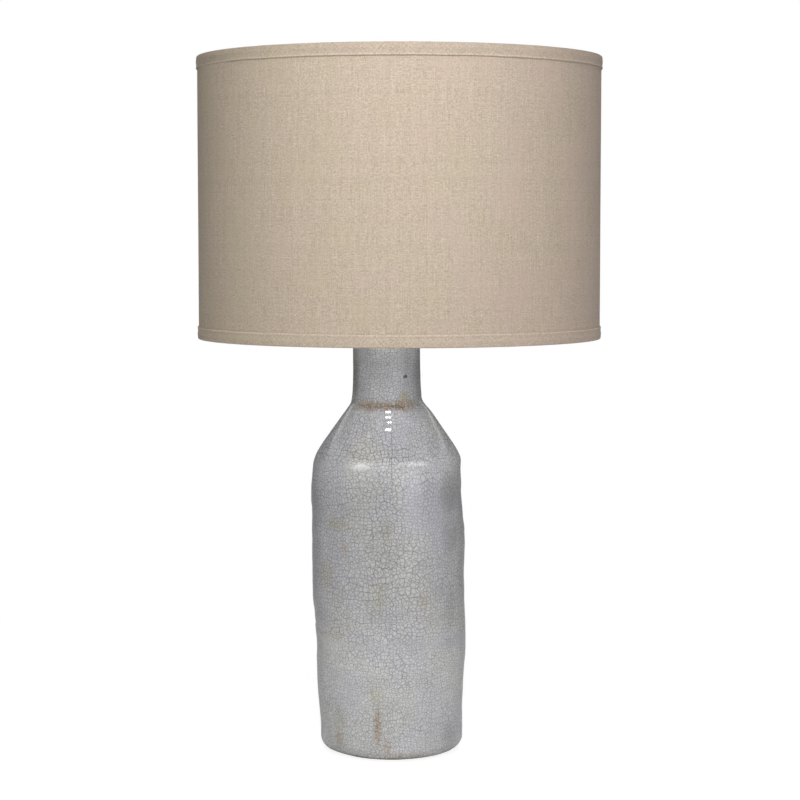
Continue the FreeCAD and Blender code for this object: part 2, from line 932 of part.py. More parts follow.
# One wire per arm, from the hub out and up to the ring
def arm_rods():
    ring_z = shade_top_z - binding_fold - ring_wire / 2
    hub_middle = hub_top_z - hub_height / 2
    arms = []
    for arm in range(spider_arms):
        angle = math.radians(spider_first_arm + 360 * arm / spider_arms)
        away = Vector(math.cos(angle), math.sin(angle), 0)
        stops = (
            (hub_radius - 2, hub_middle),
            (spider_bend_in, hub_middle),
            (spider_bend_out, ring_z),
            (ring_middle(), ring_z),
        )
        route = rounded_route([away * out + Vector(0, 0, z) for out, z in stops], [spider_bend] * 2)
        arms.append(wire_rod(route, spider_wire))
    return arms


def spider_wires():
    hub_space = rod(hub_radius, hub_top_z - 20, hub_top_z + 20, 0)
    trimmed = [arm.cut(hub_space).cut(top_ring()) for arm in arm_rods()]
    return Part.makeCompound(trimmed)


def spider_hub():
    return tube(hub_radius, hub_bore, hub_top_z - hub_height, hub_top_z, 0)


def finial_z():
    return hub_top_z + loose_slack


# Threaded bush with a flange, which the knob sits on
def finial_bush():
    low = finial_z()
    shoulder = low + finial_flange_height
    bore = post_radius + thread_slack
    return turned(outline(
        (bore, low),
        (finial_flange_radius, low),
        (finial_flange_radius, shoulder),
        (finial_bush_radius, shoulder),
        (finial_bush_radius, low + finial_bush_height),
        (bore, low + finial_bush_height),
    ), 0)


def finial_knob():
    low = finial_z() + finial_flange_height + running_slack
    top = finial_z() + finial_height
    bore = finial_bush_radius + running_slack
    bore_top = finial_z() + post_height + 1.5
    ball = (0, top - finial_ball_radius)
    lip = (finial_neck_radius, low + finial_lip / 2)
    waist_z = low + finial_lip + finial_waist
    waist_angle = math.degrees(math.asin((waist_z - ball[1]) / finial_ball_radius))
    return turned(outline(
        (bore, low),
        (finial_neck_radius, low),
        (corner(lip, finial_lip / 2, 0), (finial_neck_radius, low + finial_lip)),
        corner(ball, finial_ball_radius, waist_angle),
        (corner(ball, finial_ball_radius, 30), (0, top)),
        (0, bore_top),
        (bore, bore_top),
    ), 0)


pieces = {
    "ceramic_bottle": ceramic_bottle,
    "felt_pad": felt_pad,
    "cord_bushing": cord_bushing,
    "foot_washer": foot_washer,
    "lock_washer": lock_washer,
    "foot_nut": foot_nut,
    "threaded_pipe": threaded_pipe,
    "vase_cap": vase_cap,
    "brass_collar": brass_collar,
    "check_ring": check_ring,
    "harp_saddle": harp_saddle,
    "lock_nut": lock_nut,
    "harp_bow": harp_bow,
    "harp_post": harp_post,
    "harp_sleeve_left": lambda: harp_sleeve(-1),
    "harp_sleeve_right": lambda: harp_sleeve(1),
    "socket_cap": socket_cap,
    "cap_set_screw": cap_set_screw,
    "socket_shell": socket_shell,
    "socket_insulator": socket_insulator,
    "socket_core": socket_core,
    "terminal_screws": terminal_screws,
    "screw_shell": screw_shell,
    "center_contact": center_contact,
    "switch_stem": switch_stem,
    "switch_knob": switch_knob,
    "bulb_contact": bulb_contact,
    "bulb_insulator": bulb_insulator,
    "bulb_base": bulb_base,
    "bulb_housing": bulb_housing,
    "bulb_diffuser": bulb_diffuser,
    "led_board": led_board,
    "shade_linen": shade_linen,
    "shade_liner": shade_liner,
    "linen_seam": linen_seam,
    "top_ring": top_ring,
    "bottom_ring": bottom_ring,
    "top_binding": top_binding,
    "bottom_binding": bottom_binding,
    "spider_wires": spider_wires,
    "spider_hub": spider_hub,
    "finial_bush": finial_bush,
    "finial_knob": finial_knob,
}

os.makedirs("parts", exist_ok=True)
for name, make in pieces.items():
    shape = make()
    if not shape.isValid():
        print(name, "is not valid")
    shape.exportStep("parts/" + name + ".step")
    print(name, "solids", len(shape.Solids), "volume", round(shape.Volume))
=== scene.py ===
import math

import bpy
from mathutils import Matrix, Vector, noise
from mathutils.bvhtree import BVHTree
from mathutils.interpolate import poly_3d_calc


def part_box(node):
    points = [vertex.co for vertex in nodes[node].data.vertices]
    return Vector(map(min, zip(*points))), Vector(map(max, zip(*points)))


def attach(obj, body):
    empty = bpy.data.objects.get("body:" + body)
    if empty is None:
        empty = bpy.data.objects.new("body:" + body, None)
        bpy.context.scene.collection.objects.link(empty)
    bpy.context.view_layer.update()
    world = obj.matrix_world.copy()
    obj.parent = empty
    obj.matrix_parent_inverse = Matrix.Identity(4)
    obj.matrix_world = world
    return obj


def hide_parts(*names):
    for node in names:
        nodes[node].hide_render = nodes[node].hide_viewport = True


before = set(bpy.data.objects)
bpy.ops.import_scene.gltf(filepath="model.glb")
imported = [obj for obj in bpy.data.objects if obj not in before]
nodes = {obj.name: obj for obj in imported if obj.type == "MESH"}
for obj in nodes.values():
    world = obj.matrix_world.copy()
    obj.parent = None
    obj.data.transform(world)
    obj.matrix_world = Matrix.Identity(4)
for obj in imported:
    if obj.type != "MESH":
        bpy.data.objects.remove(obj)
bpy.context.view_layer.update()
millimetre = 0.001
fullTurn = 2.0 * math.pi
axis = (0.0, 0.0)                # middle of the shade, seen from above
white = (1.0, 1.0, 1.0)
print("frame loaded:", len(nodes), "nodes")


# Camera and light

view = {
    "distance": 2.2616,          # in front of the middle of the shade
    "height": 0.5313,
    "sideways": 0.0007,
    "tiltDown": 4.39,            # degrees
    "lens": 100.47,
    "sensor": 36.0,
    "pixels": 800.0,             # width and height of the picture that the catch lights are placed in
}

studio = {
    "skyStrength": 0.20,
    "floorRadius": 9.0,
    "floorGlow": 0.86,           # the white table seen by the camera, before any light falls on it
    "floorGrey": 0.30,
    "floorPlain": 0.80,          # grey that lights the object from below
}

# Lamps: place, what they look at, watts and size in metres, and where it isn't white or doesn't shine over
# 180 degrees, colour and angle
lamps = {
    "key": ((0.10, -3.3, 0.90), (0.0, 0.0, 0.42), 64.0, 1.4),
    "top": ((0.02, -0.80, 1.22), (0.0, -0.20, 0.66), 1.2, 0.35, white, 80.0),
    "left": ((-1.0, -0.95, 0.05), (0.0, 0.0, 0.35), 1.0, 0.5, (1.0, 0.98, 0.84)),
    "right": ((1.0, -0.62, 0.12), (0.0, 0.0, 0.40), 0.65, 0.5, (1.0, 0.92, 0.97)),
    "leftRim": ((-1.5, 0.30, 0.10), (-0.15, 0.0, 0.40), 0.55, 0.4),
    "rightRim": ((1.5, 0.30, 0.22), (0.15, 0.0, 0.45), 1.30, 0.4, (1.0, 0.97, 1.0)),
    "behind": ((0.0, 3.2, 1.3), (0.0, 0.0, 0.4), 46.0, 1.4),
    "underShade": ((-0.011, -0.125, 0.46), (-0.011, -0.124, 0.0), 0.030, 0.08),
}


def addObject(name, data):
    made = bpy.data.objects.new(name, data)
    bpy.context.scene.collection.objects.link(made)
    return made


def addCamera():
    data = bpy.data.cameras.new("camera")
    data.lens = view["lens"]
    data.sensor_width = view["sensor"]
    camera = addObject("camera", data)
    camera.location = (view["sideways"], -view["distance"], view["height"])
    camera.rotation_euler = (math.radians(90.0 - view["tiltDown"]), 0.0, 0.0)
    bpy.context.scene.camera = camera


def addLamp(name, place, target, power, size, color=white, angle=180.0):
    data = bpy.data.lights.new(name, "AREA")
    data.energy = power
    data.size = size
    data.color = color
    data.spread = math.radians(angle)
    lamp = addObject(name, data)
    lamp.location = place
    lamp.rotation_euler = (Vector(target) - lamp.location).to_track_quat("-Z", "Y").to_euler()
    lamp.visible_glossy = lamp.visible_camera = False


# Node helpers

# A node's output. It adds, multiplies and so on as a number does, each time through a Math node.
class Wire:
    def __init__(self, socket):
        self.socket, self.tree = socket, socket.id_data

    def __add__(self, other):
        return calc("ADD", self, other)

    def __sub__(self, other):
        return calc("SUBTRACT", self, other)

    def __rsub__(self, other):
        return calc("SUBTRACT", other, self)

    def __mul__(self, other):
        return calc("MULTIPLY", self, other)

    def __truediv__(self, other):
        return calc("DIVIDE", self, other)

    def __abs__(self):
        return calc("ABSOLUTE", self)


# Links each wire to its input, and sets the inputs that have a plain value
def plug(tree, node, values):
    for key, value in values.items():
        socket = node.inputs[key]
        if isinstance(value, Wire):
            tree.links.new(value.socket, socket)
        elif socket.type == "RGBA":
            socket.default_value = (*value, 1.0)
        else:
            socket.default_value = value


def fromNode(tree, kind, output, inputs=None, **settings):
    node = tree.nodes.new("ShaderNode" + kind)
    for key, value in settings.items():
        setattr(node, key, value)
    plug(tree, node, inputs or {})
    return Wire(node.outputs[output])


def treeOf(values):
    return next(value.tree for value in values if isinstance(value, Wire))


def calc(operation, *values, clamp=False):
    return fromNode(treeOf(values), "Math", 0, dict(enumerate(values)),
                    operation=operation, use_clamp=clamp)


def vectorCalc(operation, *values, output=0):
    return fromNode(treeOf(values), "VectorMath", output, dict(enumerate(values)), operation=operation)


def spread(value, low, high, toLow=0.0, toHigh=1.0, kind="LINEAR"):
    return fromNode(value.tree, "MapRange", "Result",
                    {"Value": value, "From Min": low, "From Max": high, "To Min": toLow, "To Max": toHigh},
                    interpolation_type=kind)


# The same with soft ends
def ease(*values):
    return spread(*values, kind="SMOOTHSTEP")


def blendColor(amount, a, b, mode="MIX"):
    return fromNode(treeOf((amount, a, b)), "Mix", 2, {"Factor": amount, 6: a, 7: b},
                    data_type="RGBA", blend_type=mode)


def darkened(color, by):
    return blendColor(1.0, color, join(by, by, by), "MULTIPLY")


def scaled(vector, by):
    return vectorCalc("MULTIPLY", vector, by)


def noiseAt(vector, scale, detail=2.0, roughness=0.5, output="Fac"):
    return fromNode(vector.tree, "TexNoise", output,
                    {"Vector": vector, "Scale": scale, "Detail": detail, "Roughness": roughness})


def split(vector):
    node = fromNode(vector.tree, "SeparateXYZ", 0, {0: vector}).socket.node
    return [Wire(socket) for socket in node.outputs]


def join(*values):
    return fromNode(treeOf(values), "CombineXYZ", 0, dict(enumerate(values)))


def bump(height, strength, distance):
    return fromNode(height.tree, "Bump", "Normal",
                    {"Strength": strength, "Distance": distance, "Height": height})


def position(tree):
    return fromNode(tree, "TexCoord", "Object")


def inMillimetres(vector):
    return scaled(vector, (1000.0, 1000.0, 1000.0))


# The inputs come with their plain values. Those of a vector are three, or None.
def newGroup(name, inputs, outputs):
    group = bpy.data.node_groups.new(name, "ShaderNodeTree")
    for label, value in inputs.items():
        kind = "NodeSocketFloat" if isinstance(value, float) else "NodeSocketVector"
        socket = group.interface.new_socket(label, in_out="INPUT", socket_type=kind)
        if value is not None:
            socket.default_value = value
    for label in outputs:
        group.interface.new_socket(label, in_out="OUTPUT", socket_type="NodeSocketFloat")
    given = {socket.name: Wire(socket) for socket in group.nodes.new("NodeGroupInput").outputs}
    return group, given, group.nodes.new("NodeGroupOutput")


def useGroup(tree, group, inputs):
    node = tree.nodes.new("ShaderNodeGroup")
    node.node_tree = group
    plug(tree, node, inputs)
    return {socket.name: Wire(socket) for socket in node.outputs}


def newMaterial(name):
    material = bpy.data.materials.new(name)
    material.use_nodes = True
    return material, material.node_tree, material.node_tree.nodes["Principled BSDF"]


# Shared effects

# Parts of the cloth's pattern: how fast they change round and up, seed, detail and weight
weaveParts = {
    "weftSlub": (0.13, 0.85, 3.0, 2.0, 0.16),
    "warpSlub": (0.85, 0.045, 9.0, 2.0, 0.15),
    "grain": (0.58, 0.58, 41.0, 1.0, 1.15),
    "bands": (0.16, 0.012, 71.0, 2.0, 0.16),
    "thick": (0.10, 0.85, 21.0, 1.0, 0.9),
    "fleck": (0.62, 0.95, 33.0, 1.0, 0.6),
    "warmth": (0.022, 0.018, 5.0, 3.0, 1.0),
}


def makeWeaveGroup():
    group, given, result = newGroup(
        "plainWeave",
        {"Cloth": None, "Thread": 0.72, "Slub": 1.0, "Contrast": 1.0},
        ["Tone", "Warmth", "Height"],
    )
    across, up, _ = split(given["Cloth"])
    warpCount, weftCount = across / given["Thread"], up / (given["Thread"] * 1.12)
    warpNumber, weftNumber = calc("FLOOR", warpCount), calc("FLOOR", weftCount)

    def streak(name):
        acrossScale, upScale, seed, detail, _ = weaveParts[name]
        return noiseAt(join(across * acrossScale, up * upScale, seed), 1.0, detail, 0.6)

    def weighted(name, value):
        return value * weaveParts[name][-1]

    def threadTone(number, along, seed):
        own = fromNode(group, "TexWhiteNoise", "Value", {"W": number + seed}, noise_dimensions="1D")
        return own * 0.35 + noiseAt(join(number * 7.31, along * 0.16, seed), 1.0) * 1.1

    weftOver = calc("PINGPONG", warpNumber + weftNumber, 1.0)
    warpOver = 1.0 - weftOver
    threads = threadTone(weftNumber, across, 57.0) * weftOver + threadTone(warpNumber, up, 11.0) * warpOver

    # Slubs: short thick places, most of them in the weft, and dark flecks of husk
    def odd(name):                   # picks out the few threads that are much paler or darker than the rest
        value = streak(name)
        paler = ease(value, 0.56, 0.66)
        return weighted(name, paler - ease(value, 0.44, 0.34))

    streaks = (odd("weftSlub") + odd("warpSlub")) * given["Slub"]
    thick = ease(streak("thick"), 0.73, 0.79)
    fleck = ease(streak("fleck"), 0.68, 0.77)
    tone = (threads - 0.72) * 0.42 + streaks
    for name in ("grain", "bands"):
        tone = tone + weighted(name, streak(name) - 0.5)
    tone = tone + weighted("thick", thick * given["Slub"]) - weighted("fleck", fleck)
    tone = calc("MULTIPLY_ADD", tone * given["Contrast"], 0.5, 0.5, clamp=True)

    def crown(count):
        return calc("SINE", calc("FRACT", count) * math.pi)

    relief = crown(weftCount) * weftOver + crown(warpCount) * warpOver + streaks * 0.6 + thick * 0.9
    plug(group, result, {"Tone": tone, "Warmth": streak("warmth"), "Height": relief})
    return group


# Net of cracks on a surface rolled out flat, in millimetres
def makeCrackleGroup():
    group, given, result = newGroup(
        "crackle",
        {"Flat": None, "Cell": 5.0, "Line": 0.35, "Seed": 0.0},
        ["Crack", "Pillow", "Tile"],
    )
    flat, cell, seed = given["Flat"], given["Cell"], given["Seed"]
    at = flat
    for scale, reach in ((0.018, 22.0), (0.11, 2.2)):     # slow drift of the rows, then small wobble
        at = vectorCalc("MULTIPLY_ADD", noiseAt(flat, scale, 1.0, output="Color"), (reach, reach, 0.0), at)
    at = vectorCalc("DIVIDE", at, join(cell, cell, 1.0))
    at = vectorCalc("ADD", at, join(seed, seed, 0.0))

    def tiles(kind, output, scale, shift, regular):
        moved = vectorCalc("ADD", at, (shift, shift, 0.0))
        return fromNode(group, "TexVoronoi", output, {"Vector": moved, "Scale": scale, "Randomness": regular},
                        feature=kind, voronoi_dimensions="2D")

    def net(scale, shift, regular):
        return tiles("DISTANCE_TO_EDGE", "Distance", scale, shift, regular)

    width = given["Line"] / cell

    def cracksAlong(edge, broad, strength):
        return ease(edge, width * (0.3 * broad), width * (1.25 * broad), 1.0, 0.0) * strength

    bold = noiseAt(flat, 0.16, 4.0, 0.75)
    edge = net(1.0, 0.0, 0.84)
    line = cracksAlong(edge, 1.0, spread(bold, 0.36, 0.62, 0.20, 0.86))
    main = cracksAlong(net(0.56, 5.1, 0.86), 0.68, spread(bold, 0.32, 0.58, 0.45, 1.0))
    hair = ease(net(1.7, 13.7, 0.9), 0.0, width * 1.3, 0.36, 0.0)
    hair = hair * ease(noiseAt(flat, 0.045), 0.50, 0.62)
    plug(group, result, {
        "Crack": calc("MAXIMUM", calc("MAXIMUM", line, main), hair),
        "Pillow": ease(edge, 0.0, 0.30),
        "Tile": tiles("F1", "Color", 1.0, 0.0, 0.84),
    })
    return group


# A ragged patch, for the stains and for the painted shade and light in the glaze
def makeStainAndPaintedLightMask():
    group, given, result = newGroup(
        "stainAndPaintedLightMask",
        {"Place": None, "Middle": None, "Reach": (10.0, 40.0, 10.0)},
        ["Mask"],
    )
    ragged = noiseAt(given["Place"], 0.22, 3.0, output="Color")
    shifted = vectorCalc("MULTIPLY_ADD", ragged, (7.0, 7.0, 9.0), given["Place"])
    shifted = vectorCalc("SUBTRACT", shifted, (3.5, 3.5, 4.5))
    away = vectorCalc("DIVIDE", vectorCalc("SUBTRACT", shifted, given["Middle"]), given["Reach"])
    length = vectorCalc("LENGTH", away, output="Value")
    plug(group, result, {"Mask": ease(length, 0.25, 1.0, 1.0, 0.0)})
    return group


def makeWearGroup():
    group, given, result = newGroup(
        "handledMetal",
        {"Place": None, "Grain": 0.4, "Cloudiness": 0.12},
        ["Tarnish", "Scratch", "Height"],
    )
    cloud = noiseAt(given["Place"], given["Cloudiness"], 4.0, 0.6)
    lines = noiseAt(scaled(given["Place"], (1.0, 1.0, 14.0)), given["Grain"], 4.0, 0.7)
    plug(group, result, {
        "Tarnish": ease(cloud, 0.35, 0.7),
        "Scratch": spread(lines, 0.3, 0.75),
        "Height": lines,
    })
    return group


weave = makeWeaveGroup()
crackle = makeCrackleGroup()
stainAndPaintedLightMask = makeStainAndPaintedLightMask()
handledMetal = makeWearGroup()


# Materials

linenLook = {
    "dark": (0.272, 0.216, 0.162),
    "light": (0.583, 0.496, 0.403),
    "pink": (0.465, 0.361, 0.312),
    "olive": (0.424, 0.366, 0.260),
    "patchAmount": 0.34,
    "thread": 1.0,               # millimetres from yarn to yarn
    "slub": 1.0,
    "contrast": 1.65,
    "relief": 0.14,              # millimetres
    "roughness": 0.86,
}

bindingLook = {
    "slub": 0.9,
    "thread": 1.25,
    "contrast": 1.75,
    "bias": 42.0,                # degrees that the tape is cut at
    "relief": 0.12,
    "topShade": 0.94,
    "bottomShade": 1.0,
    "wearAndFoldHighlight": 1.17,                # how much lighter the cloth is painted along the fold, a painted highlight on its crest
}


def makeLinen(name, look, pale=1.0, turn=0.0, wearAndFoldHighlight=None):
    material, tree, shader = newMaterial(name)
    cloth = inMillimetres(fromNode(tree, "UVMap", "UV", uv_map="cloth"))
    across = split(cloth)[1]
    if turn:
        cloth = fromNode(tree, "VectorRotate", 0, {"Vector": cloth, "Angle": math.radians(turn)},
                         rotation_type="Z_AXIS")
    woven = useGroup(tree, weave, {"Cloth": cloth, "Thread": look["thread"], "Slub": look["slub"],
                                   "Contrast": look["contrast"]})
    color = blendColor(woven["Tone"], linenLook["dark"], linenLook["light"])
    # Warm patches: olive towards one side of the drum, pink towards the other
    side = split(position(tree))[0] * 0.55 + woven["Warmth"]
    color = blendColor(spread(side, 0.50, 0.64, 0.0, linenLook["patchAmount"]), color, linenLook["pink"])
    color = blendColor(spread(side, 0.48, 0.34, 0.0, linenLook["patchAmount"]), color, linenLook["olive"])
    # Painted highlight: the cloth is lighter along the crest of the fold
    if wearAndFoldHighlight:
        low, high = wearAndFoldHighlight
        onFold = spread(across, low - 0.3, low + 0.3) * spread(across, high - 0.3, high + 0.3, 1.0, 0.0)
        color = darkened(color, (onFold * (look["wearAndFoldHighlight"] - 1.0) + 1.0) * pale)
    rough = spread(woven["Tone"], 0.0, 1.0, linenLook["roughness"] + 0.06, linenLook["roughness"] - 0.04)
    plug(tree, shader, {
        "Base Color": color,
        "Roughness": rough,
        "Normal": bump(woven["Height"], 0.55, look["relief"] * millimetre),
        "Sheen Weight": 0.04,
        "Sheen Roughness": 0.5,
        "Specular IOR Level": 0.12,
    })
    return material


glazeLook = {
    "grey": (0.366, 0.366, 0.364),
    "lavender": (0.359, 0.359, 0.382),
    "straw": (0.376, 0.370, 0.352),
    "neckBlue": (0.342, 0.348, 0.363),
    "crackColor": (0.080, 0.078, 0.076),
    "crackStrength": 0.70,
    "clay": (0.200, 0.120, 0.085),
    "paleClay": (0.33, 0.22, 0.16),
    "pinhole": (0.035, 0.032, 0.030),
    "footPaintedLight": 1.29,            # how much lighter the glaze is painted near the foot, as light thrown up from the table, and on the shoulder, as light from above
    "shoulderPaintedLight": 1.48,
    "mouthPaintedLight": 1.18,           # and at the top of the neck, painted light from under the shade
    "footFades": (85.0, 182.0),  # millimetres up, where such a change begins and where it is complete
    "shoulderBegins": (260.0, 306.0),
    "shoulderEnds": (345.0, 362.0),
    "neckTurnsBlue": (346.0, 366.0),
    "mouthBegins": (394.0, 412.0),
    "linesDarken": (60.0, 170.0),
    "tileTone": 0.13,            # how much the tiles differ
    "line": 0.27,                # millimetres, half the width of a crack
    "lowerLines": 0.72,          # how dark the cracks are near the foot
    "boldAt": 2.0,               # millimetres round from the front, where the cracks took most stain
    "axis": -11.0,               # millimetres, middle of the bottle
    "radius": 76.0,
    "roughness": 0.045,
    "clayTop": 3.6,              # millimetres, up to here the foot is bare clay
}

# Zones of the crackle: from, to, width of the blend, radius, tile size, all in millimetres
crackleZones = {
    "lower": (-20.0, 120.0, 26.0, 76.0, 3.1),
    "body": (120.0, 296.0, 10.0, 76.0, 3.6),
    "shoulder": (296.0, 350.0, 8.0, 58.0, 3.2),
    "neck": (350.0, 460.0, 8.0, 35.0, 2.4),
}

# Colours of the stains, of the painted shade (shadow) and of the lighter patches (pale)
stainAndPaintedLightColors = {
    "rust": (0.264, 0.187, 0.106),
    "umber": (0.075, 0.054, 0.037),
    "moss": (0.300, 0.285, 0.190),
    "slate": (0.285, 0.300, 0.330),
    "lilac": (0.362, 0.362, 0.400),
    "shadow": (0.235, 0.235, 0.232),
    "pale": (0.450, 0.450, 0.445),
}

# Stains in the glaze, and painted shade and painted light on it: middle and reach in millimetres, and
# strength
stainsAndPaintedLight = {
    "slate": [
        ((22, -30, 345), (18, 30, 17), 0.45), ((-66, -45, 296), (26, 40, 16), 0.25),
        ((-76, -20, 255), (14, 40, 34), 0.55), ((20, -24, 384), (14, 26, 22), 0.45),
    ],
    "lilac": [
        ((-4, -46, 330), (28, 40, 28), 0.60), ((45, -50, 245), (26, 60, 62), 0.80),
        ((14, -70, 262), (16, 60, 46), 0.75), ((50, -45, 120), (26, 50, 16), 0.55),
        ((-50, 56, 250), (30, 50, 60), 0.70),
    ],
    # Lighter patches; the one at the top of the neck is painted light from under the shade
    "pale": [
        ((-66, -45, 119), (30, 40, 12), 0.50), ((-14, -33, 413), (27, 26, 8), 0.95),
        ((-25, -31, 368), (10, 20, 9), 0.40), ((6, -72, 184), (16, 30, 16), 0.32),
        ((-48, -60, 270), (20, 40, 24), 0.22),
    ],
    # Painted shade, not stains: the dark edges of the neck, its joint with the shoulder, and the right side
    # of the body down to the foot
    "shadow": [
        ((50, -43, 268), (14, 30, 38), 0.85), ((50, -43, 228), (14, 30, 36), 0.55),
        ((-44, -14, 384), (9, 16, 34), 0.90), ((18, -14, 380), (10, 16, 40), 0.60),
        ((-42, -20, 357), (12, 16, 10), 0.50), ((17, -17, 357), (14, 16, 12), 0.65),
        ((50, -45, 150), (12, 30, 34), 0.50), ((50, -43, 120), (18, 30, 16), 0.40),
        ((50, -42, 20), (16, 30, 26), 0.50),
    ],
    "moss": [
        ((-62, -50, 238), (14, 40, 12), 0.50), ((-72, -38, 187), (11, 40, 26), 0.45),
        ((-20, -73, 168), (9, 40, 22), 0.42), ((-13, -74, 234), (9, 40, 22), 0.30),
        ((-68, -45, 124), (22, 40, 9), 0.30), ((-23, -68, 68), (9, 30, 14), 0.40),
        ((-60, -45, 40), (9, 30, 30), 0.28), ((4.7, -28.4, 364), (8, 14, 5), 0.80),
        ((30, 66, 210), (24, 40, 30), 0.45),
    ],
    "rust": [
        ((-29, -27, 354), (19, 28, 9), 0.95), ((-13, -34, 354), (17, 28, 7), 0.85),
        ((4, -31, 355), (18, 28, 10), 0.95), ((2, -72, 5), (32, 26, 6), 0.40),
        ((-21.5, -68.5, 38), (5.5, 30, 30), 0.85), ((-60, -45, 20), (6, 30, 14), 0.55),
        ((-12, -68.5, 17), (6, 30, 12), 0.50), ((-54.5, -61, 214), (6, 30, 12), 0.50),
        ((24, -67, 163), (9, 30, 12), 0.38), ((38, 60, 120), (8, 30, 60), 0.55),
        ((-60, 52, 60), (10, 30, 40), 0.45), ((-20, 34, 354), (24, 26, 6), 0.85),
    ],
    "umber": [
        ((-25, -30, 353.6), (16, 26, 2.8), 0.45), ((-4, -33, 353.6), (18, 26, 2.8), 0.50),
        # Painted shadow: this patch darkens the foot's bottom edge where it lifts off the floor
        ((-40, -54, -2), (22, 34, 9.5), 1.0),
    ],
}

# Pinholes in the glaze: middle and radius in millimetres
pinholes = [((6.3, -26.4, 383.6), 1.9), ((4.9, -26.6, 383.0), 1.3), ((-30.0, 28.0, 392.0), 1.2),
            ((52.0, 50.0, 270.0), 1.0)]
pinholeFlat = (1.0, 0.25, 1.0)       # a pinhole reaches through the wall, whose depth varies

# Long cracks: from and to, as distance round the front and height in millimetres
longCracks = [((4.5, 330.0), (3.9, 284.0)), ((150.0, 300.0), (158.0, 190.0))]


# The crackle of all zones together
def crackledZones(tree, at, z, angle):
    ragged = z + (noiseAt(at, 0.06, 3.0) - 0.5) * 16.0
    totals = {}
    for number, (low, high, soft, radius, cell) in enumerate(crackleZones.values()):
        net = useGroup(tree, crackle, {"Flat": join(angle * radius, z, 0.0), "Cell": cell,
                                       "Line": glazeLook["line"], "Seed": 17.3 * number})
        share = (ease(ragged, low - soft / 2, low + soft / 2)
                 * ease(ragged, high - soft / 2, high + soft / 2, 1.0, 0.0))
        for key, value in net.items():
            part = value * share
            totals[key] = totals[key] + part if key in totals else part
    return totals


# The crackle, weaker in the lilac, near the foot and away from the front, with the long cracks
def crackPattern(at, z, unrolled, crack, lilac):
    cracks = crack * (lilac * -0.55 + 1.0)
    cracks = cracks * spread(z, *glazeLook["linesDarken"], glazeLook["lowerLines"], 1.0)
    cracks = cracks * spread(abs(unrolled - glazeLook["boldAt"]), 8.0, 34.0, 1.12, 0.90)
    for (fromSide, fromHeight), (toSide, toHeight) in longCracks:
        along = spread(z, fromHeight, toHeight, fromSide, toSide) + (noiseAt(at, 0.08, 3.0) * 3.0 - 1.5)
        within = (spread(z, toHeight - 8.0, toHeight + 8.0)
                  * spread(z, fromHeight - 4.0, fromHeight + 4.0, 1.0, 0.0))
        long = ease(abs(unrolled - along), 0.15, 0.65, 0.95, 0.0) * within
        cracks = calc("MAXIMUM", cracks, long)
    return cracks


def largest(values):
    most = values[0]
    for value in values[1:]:
        most = calc("MAXIMUM", most, value)
    return most


